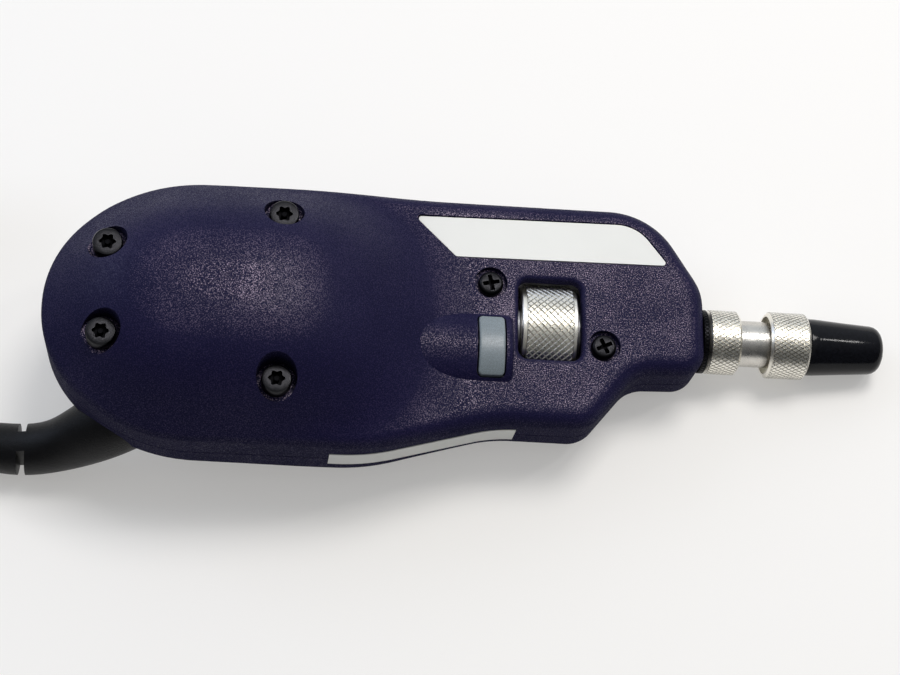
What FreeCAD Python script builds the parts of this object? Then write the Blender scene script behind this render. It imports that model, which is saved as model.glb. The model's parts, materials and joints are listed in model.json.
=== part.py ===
import FreeCAD, Part
import math
import os
import re

import Sketcher
from FreeCAD import Placement, Rotation, Vector

# Fiber inspection microscope: a moulded probe with a focus wheel, capture button, tip and corded plug.
# Pieces are drawn in the probe's frame: x runs along the optical axis towards the tip, the nose face is
# at x = 0, and z rises from the parting plane of the shells. All of them then take one Placement, which
# lays the probe on its belly and its tip nut, as it comes to rest on a table.

DIMENSIONS = {
    # Plan of the housing: corners of the outline, each with the radius of its arc
    "body_length": 125.6,
    "nose_near": 9.0,
    "nose_radius": 4.8,
    "waist_x": 13.2,
    "waist_near": 9.4,
    "waist_radius": 7.0,
    "hip_x": 22.5,
    "hip_near": 20.8,
    "hip_radius": 6.0,
    "grip_x": 40.0,
    "grip_near": 20.7,
    "grip_radius": 30.0,
    "flank_x": 64.0,
    "flank_radius": 40.0,
    "near_side": 27.2,
    "far_side": 24.0,
    "tail_side_back": 17.6,
    "tail_side_radius": 31.0,
    "tail_end_half": 10.6,
    "tail_end_radius": 22.4,
    "shoulder_x": 9.95,
    "shoulder_radius": 15.0,
    "nose_far": 8.1,
    "nose_far_radius": 10.0,
    # Heights of the shells over and under the parting plane
    "deck_height": 8.0,
    "crown_height": 24.0,
    "keel_height": 8.0,
    "belly_dome": 20.5,
    "belly_depth": 19.3,
    "belly_back": 30.6,
    "dome_half_width": 28.5,
    "dome_tail": 33.5,
    "dome_back": 30.0,
    "crown_back": 41.6,
    "dome_fall": 30.0,
    "foot_blend": 8.0,
    "rest_blend": 2.0,
    "rim_drop": 6.0,
    "rim_front_back": 63.6,
    "rim_rear_back": 35.6,
    "upper_edge_radius": 3.2,
    "lower_edge_radius": 4.0,
    "wall": 2.2,
    "skin_margin": 6.0,
    "over_cut": 1.0,
    # Optical axis: guide tube, wheel, carrier and lenses
    "tube_radius": 4.6,
    "tube_bore": 3.6,
    "tube_back": 61.6,
    "nipple_shoulder": 0.6,
    "nipple_bore": 3.0,
    "nipple_front": 5.5,
    "nipple_step": 6.0,
    "running_gap": 0.04,
    "wheel_centre": 30.2,
    "wheel_radius": 9.3,
    "wheel_rim_radius": 8.7,
    "wheel_band": 9.0,
    "wheel_rim": 0.85,
    "cam_radius": 6.8,
    "cam_width": 5.6,
    "ring_gap": 0.2,
    "ring_thickness": 0.8,
    "end_gap": 0.1,
    "key_width": 2.1,
    "key_end_gap": 0.4,
    "key_gap": 0.05,
    "focus_travel": 1.2,
    "carrier_length": 14.0,
    "carrier_bore": 2.4,
    "lens_radius": 2.8,
    "lens_thickness": 2.4,
    "lens_bulge": 0.5,
    "lens_ring": 1.0,
    "lens_ring_width": 0.7,
    # Wheel slot through both decks
    "slot_gap": 0.75,
    "slot_corner": 2.0,
    "slot_edge_radius": 0.9,
    "parting_edge": 0.3,
    # Optics frame
    "frame_front": 16.5,
    "frame_saddle_front": 6.9,
    "frame_saddle_rear": 8.8,
    "frame_near_front": 7.6,
    "frame_near_rear": 5.6,
    "frame_rail": 3.0,
    "frame_gap": 0.9,
    # Beamsplitter, illumination, tube lens and sensor
    "mount_length": 18.0,
    "mount_half": 7.0,
    "mount_top": 6.5,
    "mount_seat": 4.0,
    "cube_side": 8.0,
    "cube_offset": 8.5,
    "cube_gap": 0.05,
    "tube_lens_radius": 4.4,
    "tube_lens_thickness": 2.6,
    "light_path": 3.4,
    "board": 1.6,
    "led_board_half": 5.5,
    "led_side": 3.0,
    "led_height": 1.4,
    "sensor_distance": 6.0,
    "sensor_side": 8.0,
    "sensor_height": 1.5,
    "sensor_board_gap": 0.3,
    "sensor_board_top": 8.0,
    # Main board on its posts
    "board_top": 7.0,
    "board_front_back": 64.6,
    "board_back": 17.6,
    "board_near": 11.0,
    "board_boss_gap": 1.9,
    "board_corner": 1.0,
    "connector_inset": 0.5,
    "connector_length": 5.0,
    "connector_width": 9.0,
    "connector_height": 4.2,
    "post_front_back": 37.1,
    "post_rear_back": 20.6,
    "post_near": 8.5,
    "post_far": 6.5,
    "post_wall": 1.4,
    "board_screw_radius": 1.0,
    "board_screw_head": 1.9,
    "board_screw_head_height": 1.3,
    "board_screw_length": 6.0,
    # Screws of the shells
    "rear_screw_back": 12.0,
    "rear_screw_half": 8.7,
    "rear_seat": 14.2,
    "mid_screw_back": 44.0,
    "mid_screw_half": 16.1,
    "mid_seat": 14.4,
    "cap_head_radius": 2.75,
    "cap_head_height": 3.0,
    "cap_shank_radius": 1.5,
    "cap_screw_length": 22.0,
    "cap_well_gap": 1.0,
    "boss_wall": 1.45,
    "pilot_wall": 2.1,
    "screw_gap": 0.1,
    "thread_gap": 0.02,
    "pilot_room": 0.5,
    "front_screw_x": 19.85,
    "front_screw_gap": 0.3,
    "frame_screw_x": 41.6,
    "frame_screw_y": 6.8,
    "pan_sink": 1.4,
    "pan_head_radius": 2.4,
    "pan_head_height": 1.6,
    "pan_shank_radius": 1.25,
    "pan_screw_length": 3.6,
    "pan_well_gap": 0.75,
    # Capture button, its fairing, switch and board
    "button_x": 41.6,
    "button_y": 6.4,
    "button_length": 5.5,
    "button_width": 12.3,
    "button_gap": 0.3,
    "button_corner": 1.1,
    "button_edge": 0.4,
    "button_rise": 0.35,
    "button_travel": 0.8,
    "fairing_height": 2.9,
    "fairing_radius": 9.2,
    "fairing_front": 37.4,
    "fairing_rear": 58.0,
    "fairing_round": 1.2,
    "button_foot_depth": 1.3,
    "flange_thickness": 1.0,
    "flange_margin": 1.2,
    "flange_far": 6.0,
    "plunger_radius": 1.7,
    "plunger_lap": 0.3,
    "switch_y": 10.3,
    "switch_side": 6.0,
    "switch_height": 2.9,
    "switch_board_front": 37.2,
    "switch_board_rear": 47.0,
    "switch_board_near": 15.6,
    "switch_board_far": 6.2,
    "switch_board_top": 0.4,
    "switch_post_radius": 1.5,
    # Labels
    "label_depth": 0.5,
    "label_thickness": 0.4,
    "label_gap": 0.25,
    "label_rear": 57.1,
    "label_rear_foot": 48.5,
    "label_top": 20.0,
    "label_top_front": 20.6,
    "label_shoulder_x": 13.2,
    "label_shoulder_radius": 8.0,
    "label_front": 6.6,
    "label_foot": 12.1,
    "label_foot_rear": 11.6,
    "label_corner": 0.8,
    "strip_front": 36.0,
    "strip_rear": 71.0,
    "strip_half_height": 2.9,
    "strip_thickness": 0.15,
    # Tip: collar, nuts, barrel, inspection tip and cap
    "collar_radius": 6.2,
    "collar_length": 1.3,
    "nut_one_radius": 6.25,
    "nut_one_rear": 1.35,
    "nut_one_front": 7.65,
    "nut_chamfer": 0.4,
    "barrel_radius": 4.5,
    "barrel_bore": 3.0,
    "barrel_front": 15.0,
    "nut_one_wall": 1.25,
    "barrel_flange": 0.9,
    "spigot_step": 0.6,
    "spigot_front": 18.6,
    "seat_gap": 0.05,
    "nut_two_radius": 6.5,
    "nut_two_rear": 13.4,
    "nut_two_front": 21.2,
    "nut_two_lip": 0.9,
    "nut_two_hollow_depth": 1.8,
    "nut_two_wall": 2.0,
    "tip_flange": 1.0,
    "tip_radius": 3.7,
    "tip_shoulder": 31.0,
    "tip_front": 34.0,
    "tip_nose_radius": 2.4,
    "ferrule_bore": 1.255,
    "ferrule_depth": 8.0,
    "tip_bore": 2.2,
    "cap_front": 36.5,
    "cap_root_wall": 1.9,
    "cap_root_round": 0.5,
    "cap_end_wall": 0.9,
    "cap_end_round": 2.4,
    "cap_wall": 1.6,
    # Cord exit and strain relief
    "exit_back": 12.6,
    "exit_inset": 7.2,
    "exit_z": 8.6,
    "boot_neck_radius": 4.9,
    "boot_flange_radius": 5.6,
    "boot_base_radius": 6.4,
    "boot_waist_radius": 5.6,
    "boot_middle_radius": 5.0,
    "boot_radius": 4.9,
    "boot_end_radius": 4.6,
    "boot_slot": 1.6,
    "boot_slot_depth": 2.9,
    "boot_slot_reach": 14.7,
    "exit_cut": 8.0,
    "neck_inside": 5.5,
    "neck_outside": 4.0,
    "cord_diameter": 4.5,
    # Coil of the cord, its tie and the plug
    "coil_mean_radius": 30.0,
    "coil_width": 14.0,
    "coil_height": 13.8,
    "coil_corner": 5.0,
    "tie_width": 6.0,
    "tie_thickness": 0.8,
    "tie_corner": 0.6,
    "tie_gap": 0.1,
    "tie_inner_gap": 0.35,
    "plug_length": 26.0,
    "plug_width": 15.6,
    "plug_thickness": 7.6,
    "plug_round": 1.6,
    "shell_length": 18.75,
    "shell_width": 12.0,
    "shell_height": 4.5,
    "shell_sheet": 0.3,
    "tongue_width": 11.2,
    "tongue_height": 1.84,
    "tongue_length": 18.0,
    "contact_width": 1.0,
    "contact_thickness": 0.2,
    "contact_pitch": 2.25,
    "contact_start": 6.0,
    "contact_end": 1.0,
}

# Route of the cord from the mouth of the strain relief, in table axes
CORD_ROUTE = [
    (0.0, 0.0, 0.0),
    (-11.0, 0.5, -0.56),
    (-23.0, -0.4, -1.5),
    (-35.0, -3.0, -2.06),
    (-46.0, -4.6, -2.06),
    (-56.0, -4.6, -2.06),
]
# Stations of the strain relief's axis from the point where it leaves the lower shell, in table axes
BOOT_ROUTE = [
    (5.4, 1.6, 2.9),
    (0.0, 0.0, 0.0),
    (-6.4, -1.9, -3.3),
    (-12.6, -3.1, -5.6),
    (-20.6, -2.9, -7.1),
    (-28.5, -2.4, -7.5),
]

# Route of the cord's tail out of the coil's uppermost turn to the plug on top, from the coil's middle
TAIL_ROUTE = [(-19.5, 16.0, 12.35), (-14.5, 22.5, 14.6), (-5.5, 27.0, 18.4), (3.0, 27.0, 18.4)]
TIE_ANGLE = 100.0
# Slots of the strain relief: distance along the table from the exit, and whether they are on its sides
BOOT_SLOTS = [(17.0, True), (22.9, False)]
# Parts on the main board: place from its rear edge and from its near edge, or if negative from its far
# edge, then length, width and height
CHIPS = [
    (7.5, 5.0, 10.0, 10.0, 1.5),
    (8.5, 16.2, 8.0, 3.0, 1.0),
    (13.5, 1.0, 3.2, 2.5, 1.0),
    (32.5, 0.6, 6.0, 3.0, 1.2),
    (24.4, -1.7, 5.0, 1.4, 0.9),
    (18.5, 7.0, 2.0, 4.0, 1.0),
]
# Places of the plug's contacts across its tongue, in pitches
CONTACT_STEPS = (-1.5, -0.5, 0.5, 1.5)
# Share of the shorter neighbouring run that an arc of the cord may take
ARC_SHARE = 0.45
# Slack of the tests that pick edges, and the share of height that makes an edge upright
NEAR = 0.1
UPRIGHT_SHARE = 0.9
# Spans of the shells' skins along x and y, outside and inside, and the depth of the solids under them
SKIN_SPANS = (20, 12)
LINING_SPANS = (14, 9)
SKIN_DEPTH = 60.0
SKIN_OVERHANG = 10.0
ALONG_X = Rotation(Vector(0, 1, 0), 90)
BULB_Y = "(far_side - near_side) / 2"

# Sizes that follow from the sheet's
FOLLOWING = {
    "tube_tail": "body_length - tube_back",
    "board_front": "body_length - board_front_back",
    "tail_side_x": "body_length - tail_side_back",
    "belly_x": "body_length - belly_back",
    "dome_centre": "body_length - dome_back",
    "crown_front": "body_length - crown_back",
    "rim_front": "body_length - rim_front_back",
    "rim_back": "body_length - rim_rear_back",
    "board_rear": "body_length - board_back",
    "post_front": "body_length - post_front_back",
    "post_rear": "body_length - post_rear_back",
    "rear_screw_x": "body_length - rear_screw_back",
    "mid_screw_x": "body_length - mid_screw_back",
    "exit_x": "body_length - exit_back",
    "nipple_radius": "tube_radius - nipple_shoulder",
    "key_reach": "cam_radius - key_end_gap",
    "ring_radius": "deck_height - wall - ring_gap",
    "slot_length": "wheel_band + 2 * wheel_rim + 2 * slot_gap",
    "slot_half": "sqrt(wheel_radius ^ 2 - (deck_height - wall) ^ 2) + slot_gap",
    "frame_far": "wheel_radius + frame_gap + frame_rail",
    "sensor_x": "tube_tail - mount_seat + mount_length + sensor_distance",
    "cap_well_radius": "cap_head_radius + cap_well_gap",
    "boss_radius": "cap_head_radius + cap_well_gap + boss_wall",
    "pilot_boss_radius": "cap_shank_radius + pilot_wall",
    "post_radius": "board_screw_radius + post_wall",
    "pan_seat": "deck_height - pan_sink",
    "pan_well_radius": "pan_head_radius + pan_well_gap",
    "fairing_top": "deck_height + fairing_height",
    "button_foot": "deck_height - button_foot_depth",
    "flange_top": "deck_height - wall - end_gap",
    "barrel_flange_radius": "nut_one_radius - nut_one_wall",
    "spigot_radius": "barrel_radius - spigot_step",
    "nut_two_hollow": "nut_two_radius - nut_two_lip",
    "tip_flange_radius": "nut_two_radius - nut_two_wall",
    "cap_root_radius": "tip_radius + cap_root_wall",
    "cap_end_radius": "tip_radius + cap_end_wall",
    "exit_y": "near_side - exit_inset",
    "front_screw_y": "tube_radius + front_screw_gap",
    "mid_screw_far": "(far_side - near_side) / 2 + mid_screw_half",
    "board_far": "mid_screw_far - pilot_boss_radius - board_boss_gap",
    "sensor_board_half": "mid_screw_far - boss_radius - sensor_board_gap",
}

doc = FreeCAD.newDocument("fiber_inspection_microscope")
dims = doc.addObject("Spreadsheet::Sheet", "dims")
nodes = []


def fill_sheet():
    """Write each size into the sheet under its own alias: plain numbers first, then what follows."""
    cells = [(alias, "%g" % number) for alias, number in DIMENSIONS.items()]
    cells += [(alias, "=" + formula) for alias, formula in FOLLOWING.items()]
    for row, (alias, content) in enumerate(cells, start=1):
        dims.set("A%d" % row, alias.replace("_", " "))
        dims.set("B%d" % row, content)
        dims.setAlias("B%d" % row, alias)
    doc.recompute()


def bind(text):
    """Expression over the sheet's aliases, as FreeCAD reads it."""
    known = DIMENSIONS.keys() | FOLLOWING.keys()
    return re.sub(r"[a-z_]+", lambda word: "dims." + word.group() if word.group() in known
                  else word.group(), text)


def value(text):
    """Number that an expression over the sheet's aliases gives."""
    result = dims.evalExpression(bind(text))
    return float(getattr(result, "Value", result))


def new_body(name):
    body = doc.addObject("PartDesign::Body", name)
    body.Label = name
    return body


def new_sketch(body, name, role, offset="0"):
    """Sketch on one of the body's origin planes, lifted along the plane's normal."""
    sketch = body.newObject("Sketcher::SketchObject", name)
    plane = [feature for feature in body.Origin.OriginFeatures if feature.Role == role][0]
    sketch.AttachmentSupport = [(plane, "")]
    sketch.MapMode = "FlatFace"
    sketch.setExpression("AttachmentOffset.Base.z", bind(offset))
    return sketch


def pin_point(sketch, geometry, position, x, y):
    """Tie a point to its place from the sketch's origin, each way by an expression."""
    for kind, axis, text in (("DistanceX", -2, x), ("DistanceY", -1, y)):
        distance = value(text)
        if abs(distance) < 1e-9:
            sketch.addConstraint(Sketcher.Constraint("PointOnObject", geometry, position, axis))
        elif distance > 0:
            index = sketch.addConstraint(Sketcher.Constraint(kind, -1, 1, geometry, position, distance))
            sketch.setExpression("Constraints[%d]" % index, bind(text))
        else:
            index = sketch.addConstraint(Sketcher.Constraint(kind, geometry, position, -1, 1, -distance))
            sketch.setExpression("Constraints[%d]" % index, "-(%s)" % bind(text))


def corner_outline(sketch, corners):
    """Closed outline through corners (x, y, radius): straight sides, and a tangent arc at each radius."""
    points = [Vector(value(x), value(y), 0) for x, y, _ in corners]
    radii = [value(radius) for _, _, radius in corners]
    count = len(points)
    arrive, leave, arcs = [], [], {}
    for i, point in enumerate(points):
        back = (points[i - 1] - point).normalize()
        ahead = (points[(i + 1) % count] - point).normalize()
        half = back.getAngle(ahead) / 2
        setback = radii[i] / math.tan(half)
        arrive.append(point + back * setback)
        leave.append(point + ahead * setback)
        if radii[i] > 0:
            centre = point + (back + ahead).normalize() * (radii[i] / math.sin(half))
            arcs[i] = (centre, (back.x * ahead.y - back.y * ahead.x) < 0)
    for i in range(count):
        sketch.addGeometry(Part.LineSegment(leave[i], arrive[(i + 1) % count]), False)
    for i, (x, y, radius) in enumerate(corners):
        before = (i - 1) % count
        if i not in arcs:
            sketch.addConstraint(Sketcher.Constraint("Coincident", before, 2, i, 1))
            pin_point(sketch, i, 1, x, y)
            continue
        centre, left_turn = arcs[i]
        first, last = (arrive[i], leave[i]) if left_turn else (leave[i], arrive[i])
        start = math.atan2(first.y - centre.y, first.x - centre.x)
        end = math.atan2(last.y - centre.y, last.x - centre.x)
        circle = Part.Circle(centre, Vector(0, 0, 1), radii[i])
        arc = sketch.addGeometry(Part.ArcOfCircle(circle, start, end), False)
        corner = sketch.addGeometry(Part.Point(points[i]), True)
        sketch.addConstraint([
            Sketcher.Constraint("Tangent", before, 2, arc, 1 if left_turn else 2),
            Sketcher.Constraint("Tangent", arc, 2 if left_turn else 1, i, 1),
            Sketcher.Constraint("PointOnObject", corner, 1, before),
            Sketcher.Constraint("PointOnObject", corner, 1, i),
        ])
        index = sketch.addConstraint(Sketcher.Constraint("Radius", arc, radii[i]))
        sketch.setExpression("Constraints[%d]" % index, bind(radius))
        pin_point(sketch, corner, 1, x, y)


def sharp(*points):
    """Corners without radii."""
    return [(x, y, "0") for x, y in points]


def turned(name, corners):
    """Body turned about the optical axis from a profile of (x, radius, corner radius)."""
    body = new_body(name)
    sketch = new_sketch(body, name + "_profile", "XZ_Plane")
    corner_outline(sketch, corners)
    turn = body.newObject("PartDesign::Revolution", name + "_turn")
    turn.Profile = sketch
    turn.ReferenceAxis = (sketch, ["H_Axis"])
    turn.Angle = 360
    return body


def padded(name, corners, low, high, role="XY_Plane"):
    """Body padded from an outline between two heights over its plane."""
    body = new_body(name)
    add_pad(body, name + "_pad", corners, low, high, role)
    return body


def add_pad(body, name, corners, low, high, role="XY_Plane"):
    sketch = new_sketch(body, name + "_outline", role, low)
    corner_outline(sketch, corners)
    pad = body.newObject("PartDesign::Pad", name)
    pad.Profile = sketch
    pad.setExpression("Length", bind("(%s) - (%s)" % (high, low)))
    return pad


def rectangle(x_low, x_high, y_low, y_high, radius="0"):
    places = ((x_low, y_low), (x_high, y_low), (x_high, y_high), (x_low, y_high))
    return [(x, y, radius) for x, y in places]


def cylinder(name, radius, length, base, rotation=Rotation()):
    rod = doc.addObject("Part::Cylinder", name)
    rod.setExpression("Radius", bind(radius))
    rod.setExpression("Height", bind(length))
    return place(rod, base, rotation)


def block(name, low, high):
    """Box between two corners given as expressions."""
    box = doc.addObject("Part::Box", name)
    for size, first, last in zip(("Length", "Width", "Height"), low, high):
        box.setExpression(size, bind("(%s) - (%s)" % (last, first)))
    return place(box, low)


def place(piece, base, rotation=Rotation()):
    """Place a piece with its origin at a point given as three expressions."""
    piece.Placement = Placement(Vector(), rotation)
    for axis, text in zip("xyz", base):
        piece.setExpression("Placement.Base." + axis, bind(text))
    return piece


def fuse(name, *pieces):
    joined = doc.addObject("Part::MultiFuse", name)
    joined.Shapes = list(pieces)
    return joined


def cut(name, base, *tools):
    """Base less its tools, fused first where there are several."""
    result = doc.addObject("Part::Cut", name)
    result.Base = base
    result.Tool = tools[0] if len(tools) == 1 else fuse(name + "_tools", *tools)
    return result


def common(name, base, tool):
    result = doc.addObject("Part::Common", name)
    result.Base = base
    result.Tool = tool
    return result


def group(name, pieces):
    """Several separate solids under one name."""
    result = doc.addObject("Part::Compound", name)
    result.Links = list(pieces)
    return result


def rounded(name, base, radius, keep):
    """Base with a fillet along each edge whose middle the test keeps."""
    doc.recompute()
    result = doc.addObject("Part::Fillet", name)
    result.Base = base
    chosen = []
    for index, edge in enumerate(base.Shape.Edges, start=1):
        middle = edge.valueAt((edge.FirstParameter + edge.LastParameter) / 2)
        if keep(edge, middle):
            chosen.append((index, value(radius), value(radius)))
    result.Edges = chosen
    return result


def node(piece, name):
    """Count a finished piece as a sub-part of the product."""
    piece.Label = name
    nodes.append(piece)
    return piece


# Housing


def smooth_max(first, second, blend):
    """Greater of two heights, rounded where they come within the blend of each other."""
    overlap = max(blend - abs(first - second), 0.0)
    return max(first, second) + overlap * overlap / (4.0 * blend)


def rest_slope():
    """Slope of the table against the optical axis: the belly and the tip nut both touch it."""
    rise = value("belly_depth - nut_two_radius")
    return rise / value("belly_x + nut_two_front - nut_chamfer")


def shell_height(x, y, top, deck, inset):
    """Height of a shell over the parting plane: a dome over the bulb that runs out into a flat deck."""
    across = (y - value(BULB_Y)) / (value("dome_half_width") - inset)
    along = min(x + value("dome_centre"), 0.0) / (value("dome_tail") - inset)
    fall = (max(x + value("crown_front"), 0.0) / value("dome_fall")) ** 2 * (top - deck)
    dome = (top - inset) * (1.0 - math.hypot(across, along) ** 3) - fall
    share = (-x - value("rim_front")) / value("rim_back - rim_front")
    share = min(max(share, 0.0), 1.0)
    rim = deck - inset - value("rim_drop") * share * share * (3.0 - 2.0 * share)
    return smooth_max(rim, dome, value("foot_blend"))


def upper_height(x, y, inset):
    return shell_height(x, y, value("crown_height"), value("deck_height"), inset)


def lower_height(x, y, inset):
    """Underside: the lower dome, flattened where the belly rests on the table."""
    belly = -shell_height(x, y, value("belly_dome"), value("keel_height"), inset)
    nut_line = value("nut_two_front - nut_chamfer") - x
    table = -value("nut_two_radius") - nut_line * rest_slope() + inset
    return smooth_max(belly, table, value("rest_blend"))


def spline_axis(low, high, spans):
    """Knots, multiplicities and pole places of a cubic spline: on these poles a plane stays flat."""
    knots = [low + (high - low) * i / spans for i in range(spans + 1)]
    mults = [4] + [1] * (spans - 1) + [4]
    full = [low] * 3 + knots + [high] * 3
    poles = [sum(full[i + 1:i + 4]) / 3.0 for i in range(spans + 3)]
    return knots, mults, poles


def crown_block(name, height, inset, depth, spans):
    """Solid under or over one smooth skin, whose poles follow a height formula."""
    x_low, x_high = value("-body_length") - SKIN_OVERHANG, SKIN_OVERHANG
    y_low, y_high = value("-near_side") - SKIN_OVERHANG, value("far_side") + SKIN_OVERHANG
    x_knots, x_mults, x_poles = spline_axis(x_low, x_high, spans[0])
    y_knots, y_mults, y_poles = spline_axis(y_low, y_high, spans[1])
    poles = [[Vector(x, y, height(x, y, inset)) for y in y_poles] for x in x_poles]
    skin = Part.BSplineSurface()
    skin.buildFromPolesMultsKnots(poles, x_mults, y_mults, x_knots, y_knots, False, False, 3, 3)
    piece = doc.addObject("Part::Feature", name)
    piece.Shape = skin.toShape().extrude(Vector(0, 0, depth))
    return piece


HOUSING_OUTLINE = [
    ("0", "-nose_near", "nose_radius"),
    ("-waist_x", "-waist_near", "waist_radius"),
    ("-hip_x", "-hip_near", "hip_radius"),
    ("-grip_x", "-grip_near", "grip_radius"),
    ("-flank_x", "-near_side", "flank_radius"),
    ("-tail_side_x", "-near_side", "tail_side_radius"),
    ("-body_length", BULB_Y + " - tail_end_half", "tail_end_radius"),
    ("-body_length", BULB_Y + " + tail_end_half", "tail_end_radius"),
    ("-tail_side_x", "far_side", "tail_side_radius"),
    ("-shoulder_x", "far_side", "shoulder_radius"),
    ("0", "nose_far", "nose_far_radius"),
]


def outline_prism(name, low, high, outset="0"):
    """Prism of the housing's plan between two heights, moved out or in from the outline."""
    body = new_body(name + "_plan")
    sketch = new_sketch(body, name + "_outline", "XY_Plane", low)
    corner_outline(sketch, HOUSING_OUTLINE)
    profile = sketch
    if value(outset):
        profile = doc.addObject("Part::Offset2D", name + "_offset")
        profile.Source = sketch
        profile.setExpression("Value", bind(outset))
    prism = doc.addObject("Part::Extrusion", name)
    prism.Base = profile
    prism.DirMode = "Custom"
    prism.Dir = Vector(0, 0, 1)
    prism.Solid = True
    prism.setExpression("LengthFwd", bind("(%s) - (%s)" % (high, low)))
    return prism


def on_rim(side):
    """Test for the edges between a shell's walls and its skin, over or under the parting plane."""
    return lambda edge, middle: middle.z * side > NEAR and not is_upright(edge)


def on_parting(edge, middle):
    """Test for the edges of a shell at the parting plane."""
    return abs(middle.z) < NEAR


def is_upright(edge):
    rise = abs(edge.Vertexes[0].Point.z - edge.Vertexes[-1].Point.z)
    return rise > UPRIGHT_SHARE * edge.Length


def upper_shell():
    """Moulded upper shell: deck with label recess, wheel slot and button fairing, bulb with screw wells."""
    blank = common("upper_block", outline_prism("upper_prism", "0", "crown_height + skin_margin"),
                   crown_block("upper_skin", upper_height, 0.0, -SKIN_DEPTH, SKIN_SPANS))
    whole = rounded("upper_whole", blank, "upper_edge_radius", on_rim(1))
    soft = rounded("upper_soft", whole, "parting_edge", on_parting)
    hump = cylinder("fairing", "fairing_radius", "fairing_rear - fairing_front",
                    ("-fairing_rear", "-button_y", "fairing_top - fairing_radius"), ALONG_X)
    hump_end = rounded("fairing_end", hump, "fairing_round",
                       lambda edge, middle: middle.x > -value("fairing_front") - NEAR)
    room = block("fairing_room", ("-fairing_rear", "-button_y - fairing_radius", "deck_height - wall"),
                 ("0", "-button_y + fairing_radius", "crown_height"))
    hump_soft = common("fairing_soft", hump_end, room)
    inset = outline_prism("upper_inset", "-over_cut", "crown_height + skin_margin", "-wall")
    cavity = common("upper_cavity", inset,
                    crown_block("upper_inner", upper_height, value("wall"), -SKIN_DEPTH, LINING_SPANS))
    hollow = cut("upper_hollow", fuse("upper_humped", soft, hump_soft), cavity)
    bosses = [cylinder("upper_boss_%d" % i, "boss_radius", "crown_height", (x, y, "0"))
              for i, (x, y, _) in enumerate(CAP_SCREWS)]
    boss_set = common("upper_bosses", fuse("upper_boss_set", *bosses), soft)
    below = "deck_height - wall - over_cut"
    tools = [slot_cutter("upper_slot", below, "crown_height"), nose_bore("upper_nose_bore"),
             label_recess(), button_opening()]
    for i, (x, y, seat) in enumerate(CAP_SCREWS):
        tools.append(cylinder("cap_well_%d" % i, "cap_well_radius", "crown_height", (x, y, seat)))
        tools.append(cylinder("cap_hole_%d" % i, "cap_shank_radius + screw_gap", seat + " + over_cut * 2",
                              (x, y, "-over_cut")))
    for i, (x, y) in enumerate(PAN_SCREWS):
        tools.append(cylinder("pan_well_%d" % i, "pan_well_radius", "deck_height", (x, y, "pan_seat")))
        tools.append(cylinder("pan_hole_%d" % i, "pan_shank_radius + screw_gap", "wall + over_cut",
                              (x, y, below)))
    drilled = cut("upper_drilled", fuse("upper_bossed", hollow, boss_set), *tools)
    shell = rounded("upper_shell", drilled, "slot_edge_radius", slot_rim("deck_height"))
    node(shell, "upper_shell")
    return whole


def lower_shell():
    """Moulded lower shell: flat keel, belly with its resting flat, pilot bosses, board posts, cord exit."""
    blank = common("lower_block", outline_prism("lower_prism", "-belly_depth - skin_margin", "0"),
                   crown_block("lower_skin", lower_height, 0.0, SKIN_DEPTH, SKIN_SPANS))
    whole = rounded("lower_whole", blank, "lower_edge_radius", on_rim(-1))
    soft = rounded("lower_soft", whole, "parting_edge", on_parting)
    inset = outline_prism("lower_inset", "-belly_depth - skin_margin", "over_cut", "-wall")
    cavity = common("lower_cavity", inset,
                    crown_block("lower_inner", lower_height, value("wall"), SKIN_DEPTH, LINING_SPANS))
    hollow = cut("lower_hollow", soft, cavity)
    deep = "belly_depth + skin_margin"
    stands = [cylinder("pilot_boss_%d" % i, "pilot_boss_radius", deep, (x, y, "-(%s)" % deep))
              for i, (x, y, _) in enumerate(CAP_SCREWS)]
    stands += [cylinder("board_post_%d" % i, "post_radius", deep,
                        (x, y, "-(%s) - board_top - board" % deep))
               for i, (x, y) in enumerate(BOARD_POSTS)]
    stands += [cylinder("switch_post_%d" % i, "switch_post_radius", deep,
                        (x, y, "-(%s) + switch_board_top - board" % deep))
               for i, (x, y) in enumerate(SWITCH_POSTS)]
    stand_set = common("lower_stands", fuse("lower_stand_set", *stands), soft)
    tools = [slot_cutter("lower_slot", "-keel_height - over_cut", "-keel_height + wall + over_cut"),
             nose_bore("lower_nose_bore"),
             exit_rod("cord_exit", "boot_neck_radius + thread_gap", "-exit_cut", "exit_cut")]
    for i, (x, y, seat) in enumerate(CAP_SCREWS):
        depth = "cap_screw_length - %s + pilot_room" % seat
        tools.append(cylinder("pilot_%d" % i, "cap_shank_radius + thread_gap", depth + " + over_cut",
                              (x, y, "-(%s)" % depth)))
    for i, (x, y) in enumerate(BOARD_POSTS):
        tools.append(cylinder("post_pilot_%d" % i, "board_screw_radius + thread_gap", "board_screw_length",
                              (x, y, "-board_top - board_screw_length - pilot_room")))
    drilled = cut("lower_drilled", fuse("lower_standing", hollow, stand_set), *tools)
    node(rounded("lower_shell", drilled, "slot_edge_radius", slot_rim("-keel_height")), "lower_shell")
    return whole, cavity


CAP_SCREWS = [
    ("-rear_screw_x", BULB_Y + " - rear_screw_half", "rear_seat"),
    ("-rear_screw_x", BULB_Y + " + rear_screw_half", "rear_seat"),
    ("-mid_screw_x", BULB_Y + " - mid_screw_half", "mid_seat"),
    ("-mid_screw_x", BULB_Y + " + mid_screw_half", "mid_seat"),
]
PAN_SCREWS = [("-front_screw_x", "-front_screw_y"), ("-frame_screw_x", "frame_screw_y")]
BOARD_POSTS = [(x, y) for x in ("-post_front", "-post_rear") for y in ("-post_near", "post_far")]
SWITCH_POSTS = [
    ("-switch_board_rear + switch_post_radius", "-switch_board_near + switch_post_radius"),
    ("-switch_board_front - switch_post_radius", "-switch_board_near + switch_post_radius"),
    ("-button_x", "-switch_board_far - switch_post_radius"),
]


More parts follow.
